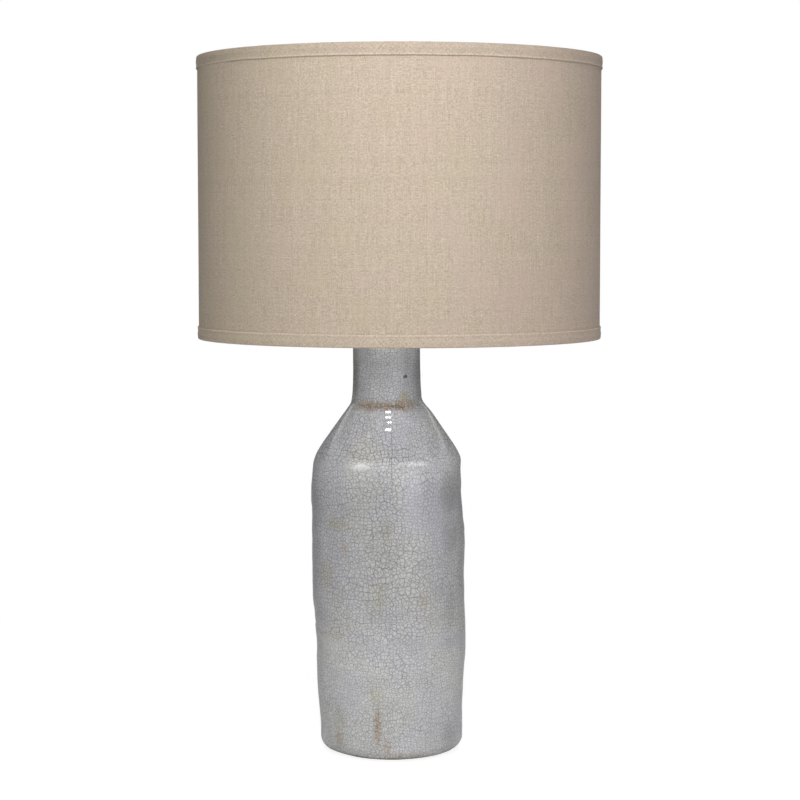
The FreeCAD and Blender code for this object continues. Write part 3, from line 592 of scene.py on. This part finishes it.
def makeGlaze():
    material, tree, shader = newMaterial("crackleGlaze")
    at = inMillimetres(position(tree))
    x, y, z = split(at)
    angle = calc("ARCTAN2", x - glazeLook["axis"], y * -1.0)
    net = crackledZones(tree, at, z, angle)

    patches = noiseAt(scaled(at, (1.0, 1.0, 0.6)), 0.022, 3.0, 0.55) + spread(z, 80.0, 330.0, -0.06, 0.08)
    color = blendColor(ease(patches, 0.42, 0.60), glazeLook["grey"], glazeLook["lavender"])
    washes = noiseAt(scaled(at, (1.0, 1.0, 0.35)), 0.035, 4.0, 0.6)
    color = blendColor(ease(washes, 0.50, 0.66, 0.0, 0.40), color, glazeLook["straw"])
    color = blendColor(ease(z, *glazeLook["neckTurnsBlue"], 0.0, 0.85), color, glazeLook["neckBlue"])
    # Stains, with painted shade (shadow) and painted light (pale)
    masks = {tint: largest([
        useGroup(tree, stainAndPaintedLightMask, {"Place": at, "Middle": middle, "Reach": reach})["Mask"] * strength
        for middle, reach, strength in places]) for tint, places in stainsAndPaintedLight.items()}
    for tint in ("slate", "lilac", "pale", "shadow", "moss"):
        color = blendColor(masks[tint], color, stainAndPaintedLightColors[tint])

    # Lighter and darker places: clouds; painted light near the foot, on the shoulder and at the mouth; and
    # then each tile, lighter in its middle than at its edges
    onShoulder = ease(z, *glazeLook["shoulderBegins"]) * ease(z, *glazeLook["shoulderEnds"], 1.0, 0.15)
    tone = spread(noiseAt(at, 0.05, 4.0, 0.6), 0.30, 0.70, 0.93, 1.07)
    tone = tone * ease(z, *glazeLook["footFades"], glazeLook["footPaintedLight"], 1.0)
    tone = tone * (onShoulder * (glazeLook["shoulderPaintedLight"] - 1.0) + 1.0)
    tone = tone * ease(z, *glazeLook["mouthBegins"], 1.0, glazeLook["mouthPaintedLight"])
    tone = tone * spread(net["Pillow"], 0.0, 1.0, 0.90, 1.09)
    color = darkened(color, tone * ((net["Tile"] - 0.5) * glazeLook["tileTone"] + 1.0))

    cracks = crackPattern(at, z, angle * glazeLook["radius"], net["Crack"], masks["lilac"])
    color = blendColor(cracks * glazeLook["crackStrength"], color, glazeLook["crackColor"])

    clayEdge = z + noiseAt(at, 0.12, 3.0) * 4.0
    bare = spread(clayEdge, glazeLook["clayTop"] + 1.2, glazeLook["clayTop"] + 2.6, 1.0, 0.0)
    clayTone = noiseAt(at, 0.5, 4.0)
    color = blendColor(bare, color, blendColor(clayTone, glazeLook["clay"], glazeLook["paleClay"]))
    speckle = spread(noiseAt(at, 0.50, 4.0, 0.65), 0.38, 0.60, 0.30, 1.15)
    for tint in ("rust", "umber"):
        patchy = calc("MULTIPLY", masks[tint] * speckle, net["Crack"] * 0.5 + 0.80, clamp=True)
        color = blendColor(patchy, color, stainAndPaintedLightColors[tint])
    pits = []
    for middle, radius in pinholes:
        squashed = tuple(a * b for a, b in zip(middle, pinholeFlat))
        away = vectorCalc("DISTANCE", scaled(at, pinholeFlat), squashed, output="Value")
        pits.append(ease(away, radius * 0.6, radius * 1.3, 1.0, 0.0))
    pits = largest(pits)
    color = blendColor(pits * 0.9, color, glazeLook["pinhole"])

    smooth = glazeLook["roughness"]
    rough = spread(noiseAt(at, 0.05, 3.0), 0.3, 0.7, smooth - 0.02, smooth + 0.05)
    rough = calc("ADD", rough + net["Crack"] * 0.1, bare * 0.65, clamp=True)
    height = noiseAt(scaled(at, (1.0, 1.0, 2.2)), 0.05) + noiseAt(at, 0.30) * 0.12
    height = height - cracks * 0.022 - pits * 1.5 + net["Pillow"] * 0.022 + clayTone * bare * 0.8
    plug(tree, shader, {
        "Base Color": color,
        "Roughness": rough,
        "Normal": bump(height, 0.35, 0.4 * millimetre),
        "IOR": 1.5,
    })
    return material


# Metals and enamel: clean and dull colour, how metallic, and roughness where clean and where dull
metalLooks = {
    "agedBrass": ((0.40, 0.27, 0.115), (0.155, 0.095, 0.045), 1.0, (0.26, 0.48)),
    "brightBrass": ((0.72, 0.53, 0.23), (0.48, 0.33, 0.14), 1.0, (0.16, 0.36)),
    "zincSteel": ((0.56, 0.56, 0.57), (0.36, 0.36, 0.36), 1.0, (0.28, 0.48)),
    "rolledAluminium": ((0.80, 0.80, 0.81), (0.55, 0.55, 0.56), 1.0, (0.18, 0.38)),
    "whiteEnamelWire": ((0.78, 0.77, 0.73), (0.62, 0.59, 0.53), 0.0, (0.30, 0.50)),
}


def makeMetal(name, clean, dull, metallic, roughness):
    material, tree, shader = newMaterial(name)
    wearAndFoldHighlight = useGroup(tree, handledMetal, {"Place": inMillimetres(position(tree))})
    color = blendColor(wearAndFoldHighlight["Tarnish"], clean, dull)
    wear = wearAndFoldHighlight["Tarnish"] * 0.7 + wearAndFoldHighlight["Scratch"] * 0.3
    plug(tree, shader, {
        "Base Color": blendColor(wearAndFoldHighlight["Scratch"] * 0.25, color, clean),
        "Roughness": spread(wear, 0.0, 1.0, *roughness),
        "Metallic": metallic,
        "Normal": bump(wearAndFoldHighlight["Height"], 0.15, 0.05 * millimetre),
    })
    return material


# Plain materials: two colours, roughness in each, scale of the mottling, and relief in millimetres
plainLooks = {
    "styreneLiner": ((0.80, 0.77, 0.70), (0.86, 0.84, 0.79), (0.40, 0.55), 0.03, 0.03),
    "blackMoulding": ((0.018, 0.018, 0.019), (0.035, 0.034, 0.034), (0.38, 0.55), 0.6, 0.05),
    "fibreBoard": ((0.060, 0.050, 0.042), (0.110, 0.095, 0.080), (0.75, 0.90), 0.9, 0.05),
    "creamPorcelain": ((0.70, 0.67, 0.60), (0.80, 0.77, 0.70), (0.35, 0.60), 0.5, 0.05),
    "bulbHousing": ((0.80, 0.80, 0.78), (0.87, 0.87, 0.85), (0.28, 0.36), 0.1, 0.02),
    "bulbFrost": ((0.86, 0.86, 0.83), (0.92, 0.92, 0.90), (0.42, 0.50), 0.1, 0.02),
    "coatedBoard": ((0.66, 0.67, 0.64), (0.76, 0.77, 0.74), (0.40, 0.55), 0.4, 0.02),
    "greenFelt": ((0.018, 0.045, 0.028), (0.050, 0.090, 0.062), (0.90, 1.00), 1.6, 0.40),
}


def makePlain(name, darker, lighter, roughness, scale, relief):
    material, tree, shader = newMaterial(name)
    at = inMillimetres(position(tree))
    grain = noiseAt(at, scale * 9.0, 3.0, 0.6)
    tone = spread(noiseAt(at, scale, 4.0, 0.6) * 0.7 + grain * 0.3, 0.32, 0.68)
    plug(tree, shader, {
        "Base Color": blendColor(tone, darker, lighter),
        "Roughness": spread(tone, 0.0, 1.0, *roughness),
        "Normal": bump(grain, 0.4, relief * millimetre),
    })
    return material


finishes = {name: makeMetal(name, *look) for name, look in metalLooks.items()}
finishes.update({name: makePlain(name, *look) for name, look in plainLooks.items()})

nodeFinish = {
    "agedBrass": ["vase_cap", "brass_collar", "check_ring", "harp_saddle", "harp_bow", "harp_post",
                  "harp_sleeve_left", "harp_sleeve_right", "finial_bush", "finial_knob"],
    "brightBrass": ["socket_cap", "socket_shell", "terminal_screws", "center_contact"],
    "zincSteel": ["foot_washer", "lock_washer", "foot_nut", "threaded_pipe", "lock_nut", "cap_set_screw",
                  "switch_stem", "bulb_contact"],
    "rolledAluminium": ["screw_shell", "bulb_base"],
    "whiteEnamelWire": ["top_ring", "bottom_ring", "spider_wires", "spider_hub"],
    "styreneLiner": ["shade_liner"],
    "blackMoulding": ["cord_bushing", "switch_knob", "bulb_insulator"],
    "fibreBoard": ["socket_insulator"],
    "creamPorcelain": ["socket_core"],
    "bulbHousing": ["bulb_housing"],
    "bulbFrost": ["bulb_diffuser"],
    "coatedBoard": ["led_board"],
}
for finish, names in nodeFinish.items():
    for name in names:
        data = nodes[name].data
        data.materials.clear()
        data.materials.append(finishes[finish])
print("materials made:", len(bpy.data.materials))


# Mesh helpers

def anglesRound(count):
    return [fullTurn * k / count for k in range(count)]


def quarterRound(count):
    return [math.radians(90.0 * k / count) for k in range(count + 1)]


def pointRound(middle, radius, angle, height):
    return (middle[0] + radius * math.cos(angle), middle[1] + radius * math.sin(angle), height)


# Noise that closes on itself once round a circle
def noiseRound(angle, reach, up, aside=0.0):
    return noise.noise(Vector(pointRound((aside, 0.0), reach, angle, up)))


def addPiece(name, points, faces, material):
    mesh = bpy.data.meshes.new(name)
    mesh.from_pydata(points, [], faces)
    mesh.update()
    mesh.materials.append(material)
    return addObject(name, mesh)


# Rows of points become faces between neighbours. uv gives the place on the cloth for a row and a column.
def gridMesh(name, rows, material, closedRound=True, closedAcross=False, uv=None, ends=True):
    count, last = len(rows[0]), len(rows) - 1
    corners = []
    for i in range(len(rows) if closedAcross else last):
        for j in range(count if closedRound else count - 1):
            corners.append(((i, j), (i, j + 1), (i + 1, j + 1), (i + 1, j)))
    if ends and not closedRound:
        for i in range(len(rows) // 2 - 1):
            end = ((i, 0), (i + 1, 0), (last - i - 1, 0), (last - i, 0))
            corners += [end, tuple((row, count - 1) for row, _ in reversed(end))]
    faces = [tuple(i % len(rows) * count + j % count for i, j in face) for face in corners]
    piece = addPiece(name, [tuple(p) for row in rows for p in row], faces, material)
    if uv is not None:
        layer = piece.data.uv_layers.new(name="cloth")
        for at, (i, j) in enumerate(corner for face in corners for corner in face):
            layer.data[at].uv = uv(i, j)
    piece.data.polygons.foreach_set("use_smooth", [True] * len(faces))
    return piece


def surfaceOf(mesh):
    return BVHTree.FromPolygons([v.co[:] for v in mesh.vertices], [f.vertices[:] for f in mesh.polygons])


# Bottle

bottle = {
    "around": 220,
    "stepUp": 2.0 * millimetre,
    "heelTop": 13.5 * millimetre,
    "rings": 0.16 * millimetre,      # marks of the fingers
    "lumps": 0.55 * millimetre,
    "mouthRound": 2.2 * millimetre,
    "innerRound": 0.8 * millimetre,  # bevel of the mouth's inner edge
    "wall": 7.0 * millimetre,
    "neckAxis": -13.3 * millimetre,
    "bore": 50.0 * millimetre,       # the neck's inside is straight for so long
    "even": 4.0 * millimetre,        # the wall's unevenness ends so far under the mouth
    "evenOver": 50.0 * millimetre,   # and fades over this height
    "topGap": 0.6 * millimetre,      # the wall is read up to here under the mouth
    "footRing": 0.0520,
    # Radius and height of the hollow under the floor, and of the hollow over it, from the shoulder down
    "under": [(0.0053, 0.0335), (0.0580, 0.0335), (0.0545, 0.0150)],
    "shoulderInside": (0.060, 0.290),
    "inside": [(0.066, 0.060), (0.062, 0.0415), (0.0053, 0.0415)],
}

# Presses in the wall: angle in degrees, height and depth in millimetres, then half their width in radians
# and half their height in millimetres
presses = [
    (198.0, 138.0, -1.6, 0.55, 10.0),
    (185.0, 232.0, 0.7, 0.60, 16.0),
    (250.0, 205.0, -0.8, 0.80, 30.0),
    (355.0, 150.0, -0.9, 0.50, 18.0),
    (60.0, 190.0, -1.0, 0.70, 30.0),
    (120.0, 90.0, 0.8, 0.60, 25.0),
    (222.0, 0.0, -4.2, 0.45, 18.0),
    (205.0, 127.5, 0.8, 0.60, 2.2),
]

# How far each side of the wall stands out at a height, both in millimetres
leans = {
    "left": [(0, -2.5), (55, -1.8), (90, -2.1), (111, -2.9), (128, -2.1), (137, -1.0), (165, -0.7),
             (200, -0.6), (218, -1.2), (238, -1.6), (247, -0.8), (256, 0.3), (268, 0.8), (285, 0.2),
             (300, -1.0), (345, -1.2), (362, 0.0)],
    "right": [(0, 2.8), (25, 3.4), (50, 2.3), (75, 2.0), (105, 3.1), (140, 2.8), (160, 2.2), (180, 1.2),
              (210, 1.8), (225, 1.3), (240, 0.0), (262, -0.4), (275, 0.4), (290, -0.1), (300, 1.0),
              (345, 1.0), (362, -0.4)],
}


def leaning(side, height):
    knots = leans[side]
    if height >= knots[-1][0]:
        return 0.0
    for (low, a), (high, b) in zip(knots, knots[1:]):
        if height <= high:
            share = max(0.0, (height - low) / (high - low))
            return a + (b - a) * share * share * (3.0 - 2.0 * share)


# Middle and radius of the CAD wall at one height, from rays shot inwards
def readRadii(surface, height):
    hits = []
    for angle in anglesRound(36):
        way = Vector(pointRound(axis, 1.0, angle, 0.0))
        start = Vector((bottle["neckAxis"], 0.0, height)) + way * 0.3     # well outside
        hits.append(surface.ray_cast(start, -way)[0])
    middle = sum(hits, Vector()) / len(hits)
    return middle, sum((hit - middle).length for hit in hits) / len(hits)


def smoothed(values, passes=3):
    for _ in range(passes):
        inner = [(a + 2 * b + c) / 4 for a, b, c in zip(values, values[1:], values[2:])]
        values = [values[0]] + inner + [values[-1]]
    return values


def wallOffset(angle, height):
    ring = noiseRound(angle, 0.6, height * 130.0)
    lump = noiseRound(angle, 1.3, height * 14.0, 5.0)
    up = height / millimetre
    out = leaning("left", up) * max(0.0, -math.cos(angle)) ** 1.5
    out += leaning("right", up) * max(0.0, math.cos(angle)) ** 1.5
    for degrees, at, depth, wide, tall in presses:
        apart = math.remainder(angle - math.radians(degrees), fullTurn)
        out += depth * math.exp(-(apart / wide) ** 2 - ((up - at) / tall) ** 2)
    return bottle["rings"] * ring + bottle["lumps"] * lump + out * millimetre


def buildBottle():
    low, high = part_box("ceramic_bottle")
    surface = surfaceOf(nodes["ceramic_bottle"].data)
    heelTop = bottle["heelTop"]
    steps = int((high.z - heelTop) / bottle["stepUp"])
    heights = [heelTop + (high.z - heelTop - bottle["topGap"]) * k / steps for k in range(steps + 1)]
    read = [readRadii(surface, h) for h in heights]
    radii = smoothed([r for _, r in read])
    xs = smoothed([m.x for m, _ in read], 6)
    ys = smoothed([m.y for m, _ in read], 6)
    foot, mouth = (xs[0], ys[0]), (xs[-1], ys[-1])

    # Rows as middle, radius, height and how much of the wall's unevenness they take:
    # foot ring, heel as a quarter round, wall, mouth, and down the inside to the floor
    heel = heelTop - low.z
    rows = [(*foot, r, h, 0.0) for r, h in bottle["under"] + [(bottle["footRing"], low.z)]]
    for angle in quarterRound(9)[:-1]:
        rows.append((*foot, radii[0] - heel + heel * math.sin(angle), heelTop - heel * math.cos(angle),
                     0.6 + 0.4 * math.sin(angle)))
    for h, r, x, y in zip(heights[:-1], radii, xs, ys):
        rows.append((x, y, r, h, min(1.0, max(0.0, (high.z - h - bottle["even"]) / bottle["evenOver"]))))
    rim, bevel = bottle["mouthRound"], bottle["innerRound"]
    for angle in quarterRound(4):
        out, up = rim * math.cos(angle), rim * math.sin(angle)
        rows.append((*mouth, radii[-1] - rim + out, high.z - rim + up, 0.0))
    bore, straightTo = radii[-1] - bottle["wall"], high.z - bottle["bore"]
    down = [(bore + bevel, high.z), (bore, high.z - bevel), (bore, straightTo), bottle["shoulderInside"]]
    rows += [(*mouth, r, h, 0.0) for r, h in down]
    rows += [(*foot, r, h, 0.0) for r, h in bottle["inside"]]

    grid = []
    for x, y, r, h, fade in rows:
        ring = []
        for angle in anglesRound(bottle["around"]):
            out = r + fade * wallOffset(angle, h)
            ring.append(pointRound((x, y), out, angle, h))
        grid.append(ring)
    piece = gridMesh("bottle", grid, makeGlaze(), closedAcross=True)
    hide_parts("ceramic_bottle")
    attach(piece, "root")
    return piece


thrownBottle = buildBottle()
print("bottle thrown")


# Shade

shade = {
    "around": 360,
    "lapColumns": 6,
    "rowsUp": 40,
    "linen": 0.6 * millimetre,
    "lap": 13.0 * millimetre,        # overlap down the back
    "lapRise": 0.45 * millimetre,
    "ripple": 0.10 * millimetre,
}


def buildLinen():
    low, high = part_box("shade_linen")
    radius = high.x
    lap = shade["lap"] / radius
    turn = fullTurn + lap
    start = math.pi / 2 - lap / 2
    columns, rowsUp = shade["around"] + shade["lapColumns"], shade["rowsUp"]

    def ring(offset, height):
        points = []
        for k in range(columns + 1):
            angle = start + turn * k / columns
            lapped = max(0.0, (k / columns * turn - (turn - 1.5 * lap)) / (0.5 * lap))
            wave = noiseRound(angle, 5.0, height * 9.0)
            r = radius + offset + shade["lapRise"] * min(1.0, lapped) + shade["ripple"] * (wave - 1.0)
            points.append(pointRound(axis, r, angle, height))
        return points

    rows = [ring(0.0, low.z + (high.z - low.z) * i / rowsUp) for i in range(rowsUp + 1)]
    rows += [ring(-shade["linen"], high.z - (high.z - low.z) * i / rowsUp) for i in range(rowsUp + 1)]

    def uv(i, j):
        up = i if i <= rowsUp else 2 * rowsUp + 1 - i
        return (turn * radius * j / columns, low.z + (high.z - low.z) * up / rowsUp)

    linen = makeLinen("oatmealLinen", linenLook)
    piece = gridMesh("linenDrum", rows, linen, closedRound=False, closedAcross=True, uv=uv)
    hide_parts("shade_linen", "linen_seam")
    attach(piece, "shade")


binding = {
    "around": 540,
    "width": 12.7 * millimetre,      # on the outside
    "innerWidth": 9.0 * millimetre,
    "tape": 0.42 * millimetre,       # thickness of the cloth
    "hem": 3.2 * millimetre,         # turned under along the outer edge
    "round": 1.1 * millimetre,
    "edgeWander": 0.30 * millimetre,
    "pucker": 0.12 * millimetre,
    "lapAt": 258.0,                  # degrees, where the two ends overlap
    "flatFrom": 193.0,               # degrees, here the top tape is pressed flat
    "flatTo": 217.0,
    "lapLength": 14.0 * millimetre,
    "lapRise": 0.30 * millimetre,
}

# The tape's fold and its face, in millimetres outwards and back from the fold.
# The face shows the ring that lies under it.
tapeFold = [(0.05, 0.40), (0.30, 0.22)]
tapeFace = [(0.08, 0.62), (0.30, 1.00), (0.32, 1.25), (0.08, 1.85), (-0.04, 2.5), (-0.04, 4.2), (0.10, 5.6),
            (0.30, 6.9), (0.33, 7.5), (0.26, 8.3), (0.04, 9.6), (0.0, 10.2)]


def arc(middle, radius, fromAngle, toAngle, steps=4):
    points = []
    for k in range(steps + 1):
        angle = math.radians(fromAngle + (toAngle - fromAngle) * k / steps)
        points.append((middle[0] + radius * math.cos(angle), middle[1] - radius * math.sin(angle)))
    return points


# Middle of the tape as (distance from the axis, depth below the edge): hem, outside, over the ring, inside
def tapeRoute(linenRadius, ringOuter, wire):
    half = binding["tape"] / 2
    under = linenRadius + half
    outer = under + 2 * half + 0.04 * millimetre
    width, bend = binding["width"] - half, binding["round"]
    inner = ringOuter - wire - half
    route = [(under, width - binding["hem"]), (under, width - 0.9 * millimetre)]
    for base, places in ((under, tapeFold), (outer, tapeFace)):
        route += [(base + out * millimetre, width - back * millimetre) for out, back in places]
    route += arc((outer - bend, bend + half), bend, 0, 90)
    route += [((outer + inner) / 2, half)]
    route += arc((inner + bend, bend + half), bend, 90, 180)
    route += [(inner, half + wire), (inner + 0.3 * (ringOuter - inner), half + wire + 1.3 * millimetre),
              (ringOuter - 0.3 * millimetre, half + wire + 2.4 * millimetre),
              (ringOuter - half, binding["innerWidth"] - 1.2 * millimetre),
              (ringOuter - half, binding["innerWidth"])]
    return route


# Both faces of the tape, as one closed outline
def thickened(route, thickness):
    faces = ([], [])
    for k, (x, y) in enumerate(route):
        before, after = route[max(0, k - 1)], route[min(len(route) - 1, k + 1)]
        along = Vector((after[0] - before[0], after[1] - before[1])).normalized()
        for face, side in zip(faces, (1, -1)):
            face.append((x + side * thickness / 2 * along.y, y - side * thickness / 2 * along.x))
    return faces[0] + faces[1][::-1]


def buildBinding(name, node, ring, edgeHeight, down, tapeLinen):
    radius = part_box("shade_linen")[1].x
    ringLow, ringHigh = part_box(ring)
    route = tapeRoute(radius, ringHigh.x, ringHigh.z - ringLow.z)
    section = thickened(route, binding["tape"])
    lengths = [0.0]
    for (a, b), (c, d) in zip(route, route[1:]):
        lengths.append(lengths[-1] + math.hypot(c - a, d - b))
    seed = 3.0 if down > 0 else 17.0
    turn = fullTurn
    rows = []
    for out, depth in section:
        outside = 1.0 if out > radius else 0.0
        low = min(1.0, depth / binding["width"])
        row = []
        for angle in anglesRound(binding["around"]):
            wander = binding["edgeWander"] * noiseRound(angle, 11.2, seed * 0.8) * low * outside
            pucker = noiseRound(angle + depth * 4.0, 30.0, seed + depth * 60.0)
            lap = math.remainder(angle - math.radians(binding["lapAt"]), turn) * radius / binding["lapLength"]
            lifted = binding["lapRise"] * outside * (1.0 if 0.0 < lap < 1.0 else 0.0)
            standing = out
            if down > 0 and outside:
                degrees = math.degrees(angle)
                inFlat = min(degrees - binding["flatFrom"], binding["flatTo"] - degrees) / 3.0
                press = min(1.0, max(0.0, inFlat)) * min(1.0, max(0.0, (low - 0.35) / 0.5))
                standing = out - press * 0.8 * (out - radius)
            r = standing + binding["pucker"] * pucker * outside * (0.3 + 0.7 * low) + lifted
            row.append(pointRound(axis, r, angle, edgeHeight - down * (depth + wander)))
        rows.append(row)
    last = len(route) - 1

    def uv(i, j):
        i = i % len(section)
        across = lengths[i] if i <= last else lengths[2 * last + 1 - i]
        return (turn * radius * j / binding["around"], across)

    piece = gridMesh(name, rows, tapeLinen, closedAcross=True, uv=uv)
    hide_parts(node)
    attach(piece, "shade")


buildLinen()
for rim, edge, down in (("top", 1, 1.0), ("bottom", 0, -1.0)):
    foldAt = binding["hem"] / millimetre
    tapeLinen = makeLinen(rim + "BiasLinen", bindingLook, bindingLook[rim + "Shade"], bindingLook["bias"],
                          (foldAt - 0.3, foldAt + 1.5))
    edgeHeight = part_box(rim + "_binding")[edge].z
    buildBinding(rim + "Binding", rim + "_binding", rim + "_ring", edgeHeight, down, tapeLinen)
print("shade covered")


# Felt under the foot

felt = {"around": 120, "edgeFuzz": 0.35 * millimetre, "edgeRound": 0.4 * millimetre}


def buildFelt():
    low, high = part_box("felt_pad")
    middle = (low + high) / 2
    radius = (high.x - low.x) / 2
    bottom = [(0.02, low.z), (0.6, low.z), (0.985, low.z), (1.0, low.z + felt["edgeRound"])]
    top = [(1.0, high.z - felt["edgeRound"]), (0.985, high.z), (0.6, high.z), (0.02, high.z)]
    rows = []
    for share, height in bottom + top:
        row = []
        for angle in anglesRound(felt["around"]):
            fuzz = felt["edgeFuzz"] * noiseRound(angle, 30.0, height * 900.0)
            r = radius * share - (felt["edgeFuzz"] - fuzz if share > 0.9 else 0.0)
            row.append(pointRound(middle, r, angle, height))
        rows.append(row)
    piece = gridMesh("feltPad", rows, finishes["greenFelt"], closedAcross=True)
    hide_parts("felt_pad")
    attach(piece, "root")


buildFelt()
print("felt cut")


# Stage

def mixShaders(amount, a, b):
    return fromNode(amount.tree, "MixShader", 0, {0: amount, 1: a, 2: b})


# True for rays that should meet the white background: from the camera, mirrored or through glass
def showsBackground(tree, mirrored=1.0):
    path = tree.nodes.new("ShaderNodeLightPath").outputs
    bounced = calc("MAXIMUM", Wire(path["Is Glossy Ray"]), Wire(path["Is Transmission Ray"]))
    return calc("MAXIMUM", Wire(path["Is Camera Ray"]), bounced * mirrored)


# Rises from 0 at both edges of a card or lamp to 1 further in
def edgeFade(way, width):
    return ease(0.5 - abs(way - 0.5), 0.0, width)


def buildStage():
    material, tree, shader = newMaterial("whiteFloor")
    x, y, _ = split(position(tree))
    away = calc("SQRT", x * x + y * y)
    grey = studio["floorGrey"]
    plug(tree, shader, {"Base Color": (grey, grey, grey), "Roughness": 0.9, "Specular IOR Level": 0.0})
    glow = fromNode(tree, "Emission", 0, {"Color": white, "Strength": studio["floorGlow"]})
    near = fromNode(tree, "AddShader", 0, {0: Wire(shader.outputs[0]), 1: glow})
    bright = fromNode(tree, "Emission", 0, {"Color": white, "Strength": 1.0})
    seen = mixShaders(ease(away, 0.25, 0.9), near, bright)
    grey = studio["floorPlain"]
    plain = fromNode(tree, "BsdfDiffuse", 0, {"Color": (grey, grey, grey)})
    both = mixShaders(showsBackground(tree, spread(away, 0.28, 0.50)), plain, seen)
    plug(tree, tree.nodes["Material Output"], {"Surface": both})
    count, radius = 96, studio["floorRadius"]
    points = [(0.0, 0.0, 0.0)]
    points += [pointRound(axis, radius, angle, 0.0) for angle in anglesRound(count)]
    floor = addPiece("floor", points, [(0, k + 1, (k + 1) % count + 1) for k in range(count)], material)


def buildWorld():
    world = bpy.data.worlds.new("studio")
    bpy.context.scene.world = world
    world.use_nodes = True
    tree = world.node_tree
    sky = tree.nodes["Background"]
    plug(tree, sky, {"Color": white, "Strength": studio["skyStrength"]})
    bright = fromNode(tree, "Background", 0, {"Color": white, "Strength": 1.0})
    both = mixShaders(showsBackground(tree), Wire(sky.outputs[0]), bright)
    plug(tree, tree.nodes["World Output"], {"Surface": both})


# A grey card bent round the back of the bottle.
# Only the glaze mirrors it, and it keeps the edges of the bottle dark.
card = {
    "middle": (-0.011, 0.0),
    "radius": 0.26,
    "bottom": 0.002,
    "height": 0.41,
    "from": 88.0,                # degrees round from the camera
    "to": 272.0,
    "fade": 38.0,                # degrees over which it darkens
    "low": 0.50,                 # brightness at the floor and at its top
    "high": 0.14,
    "steps": 8,
    "across": 60,
}


def buildCard():
    rows = []
    steps, across, wide = card["steps"], card["across"], card["to"] - card["from"]
    for i in range(steps + 1):
        height = card["bottom"] + card["height"] * i / steps
        row = []
        for j in range(across + 1):
            angle = math.radians(card["from"] + wide * j / across - 90.0)
            row.append(pointRound(card["middle"], card["radius"], angle, height))
        rows.append(row)
    material, tree, shader = newMaterial("greyCard")
    tree.nodes.remove(shader)
    u, v, _ = split(fromNode(tree, "UVMap", "UV", uv_map="cloth"))
    edge = edgeFade(u, card["fade"] / wide)
    glow = spread(v, 0.0, 1.0, card["low"], card["high"]) * edge + (1.0 - edge)
    lit = fromNode(tree, "Emission", 0, {"Strength": glow})
    plug(tree, tree.nodes["Material Output"], {"Surface": lit})
    piece = gridMesh("greyCard", rows, material, closedRound=False, ends=False,
                     uv=lambda i, j: (j / across, i / steps))
    piece.visible_camera = piece.visible_diffuse = piece.visible_shadow = piece.visible_transmission = False


# Catch lights: small lamps that the glaze mirrors. Each is given by the part of the picture where its
# reflection falls, as left, top, right and bottom in pixels, and by its brightness, how soft its edges are
# and how far off the glaze it stands, in metres.
catchLights = {
    "dash1": ((385.1, 411.0, 391.3, 413.2), 34.0, 0.3, 0.005),
    "dash2": ((385.4, 416.6, 391.6, 418.3), 34.0, 0.3, 0.005),
    "dash3": ((387.0, 421.7, 392.0, 423.3), 34.0, 0.3, 0.005),
    "dash4": ((385.0, 428.6, 391.5, 431.0), 34.0, 0.3, 0.005),
    "leftWindow": ((346.0, 458.8, 376.5, 474.5), 5.6, 0.9, 0.030),
    "rightWindow": ((398.0, 460.6, 434.0, 467.2), 4.6, 0.9, 0.030),
    "rightWash": ((384.0, 459.0, 438.0, 600.0), 1.35, 1.0, 0.4),
    "neckGlow": ((364.0, 346.0, 404.0, 404.0), 1.0, 0.8, 0.5),
    "neckEdge": ((390.0, 344.0, 404.0, 402.0), 1.0, 0.7, 0.3),
}


# Where the ray through a pixel meets the glaze, and the point at a distance along its reflection
def mirrored(px, py, distance, mesh, surface):
    camera = bpy.context.scene.camera
    middle, focal = view["pixels"] / 2, view["lens"] / view["sensor"] * view["pixels"]
    way = camera.matrix_world.to_3x3() @ Vector(((px - middle) / focal, (middle - py) / focal, -1.0))
    way.normalize()
    hit, _, face, _ = surface.ray_cast(camera.location, way)
    corners = [mesh.vertices[v] for v in mesh.polygons[face].vertices]
    shares = poly_3d_calc([corner.co for corner in corners], hit)
    normal = sum((corner.normal * share for corner, share in zip(corners, shares)), Vector()).normalized()
    return hit, hit + way.reflect(normal) * distance


def addCatchLight(name, area, strength, soft, distance, mesh, surface):
    left, top, right, bottom = area
    midX, midY = (left + right) / 2, (top + bottom) / 2
    west, east, north, south = [mirrored(*spot, distance, mesh, surface)[1] for spot in (
        (left, midY), (right, midY), (midX, top), (midX, bottom))]
    hit, middle = mirrored(midX, midY, distance, mesh, surface)
    across = (east - west).normalized()
    outward = across.cross(north - south).normalized()
    if outward.dot(middle - hit) < 0.0:
        outward = -outward

    data = bpy.data.lights.new(name, "AREA")
    data.shape = "RECTANGLE"
    data.size, data.size_y = (east - west).length, (north - south).length
    data.energy = math.pi * data.size * data.size_y * strength    # as bright as its strength says
    data.use_nodes = True
    tree = data.node_tree
    u, v, _ = split(fromNode(tree, "NewGeometry", "Parametric"))
    plug(tree, tree.nodes["Emission"], {"Strength": edgeFade(u, 0.5 * soft) * edgeFade(v, 0.5 * soft)})
    lamp = addObject(name, data)
    lamp.location = (west + east + north + south + middle * 2.0) / 6.0
    lamp.rotation_euler = Matrix((across, outward.cross(across), outward)).transposed().to_euler()
    lamp.visible_camera = lamp.visible_diffuse = False


buildStage()
buildWorld()
buildCard()
addCamera()
for name, settings in lamps.items():
    addLamp(name, *settings)
bpy.context.view_layer.update()
glazeSurface = surfaceOf(thrownBottle.data)
for name, settings in catchLights.items():
    addCatchLight(name, *settings, thrownBottle.data, glazeSurface)
bpy.context.scene.view_settings.view_transform = "Standard"
print("stage lit")
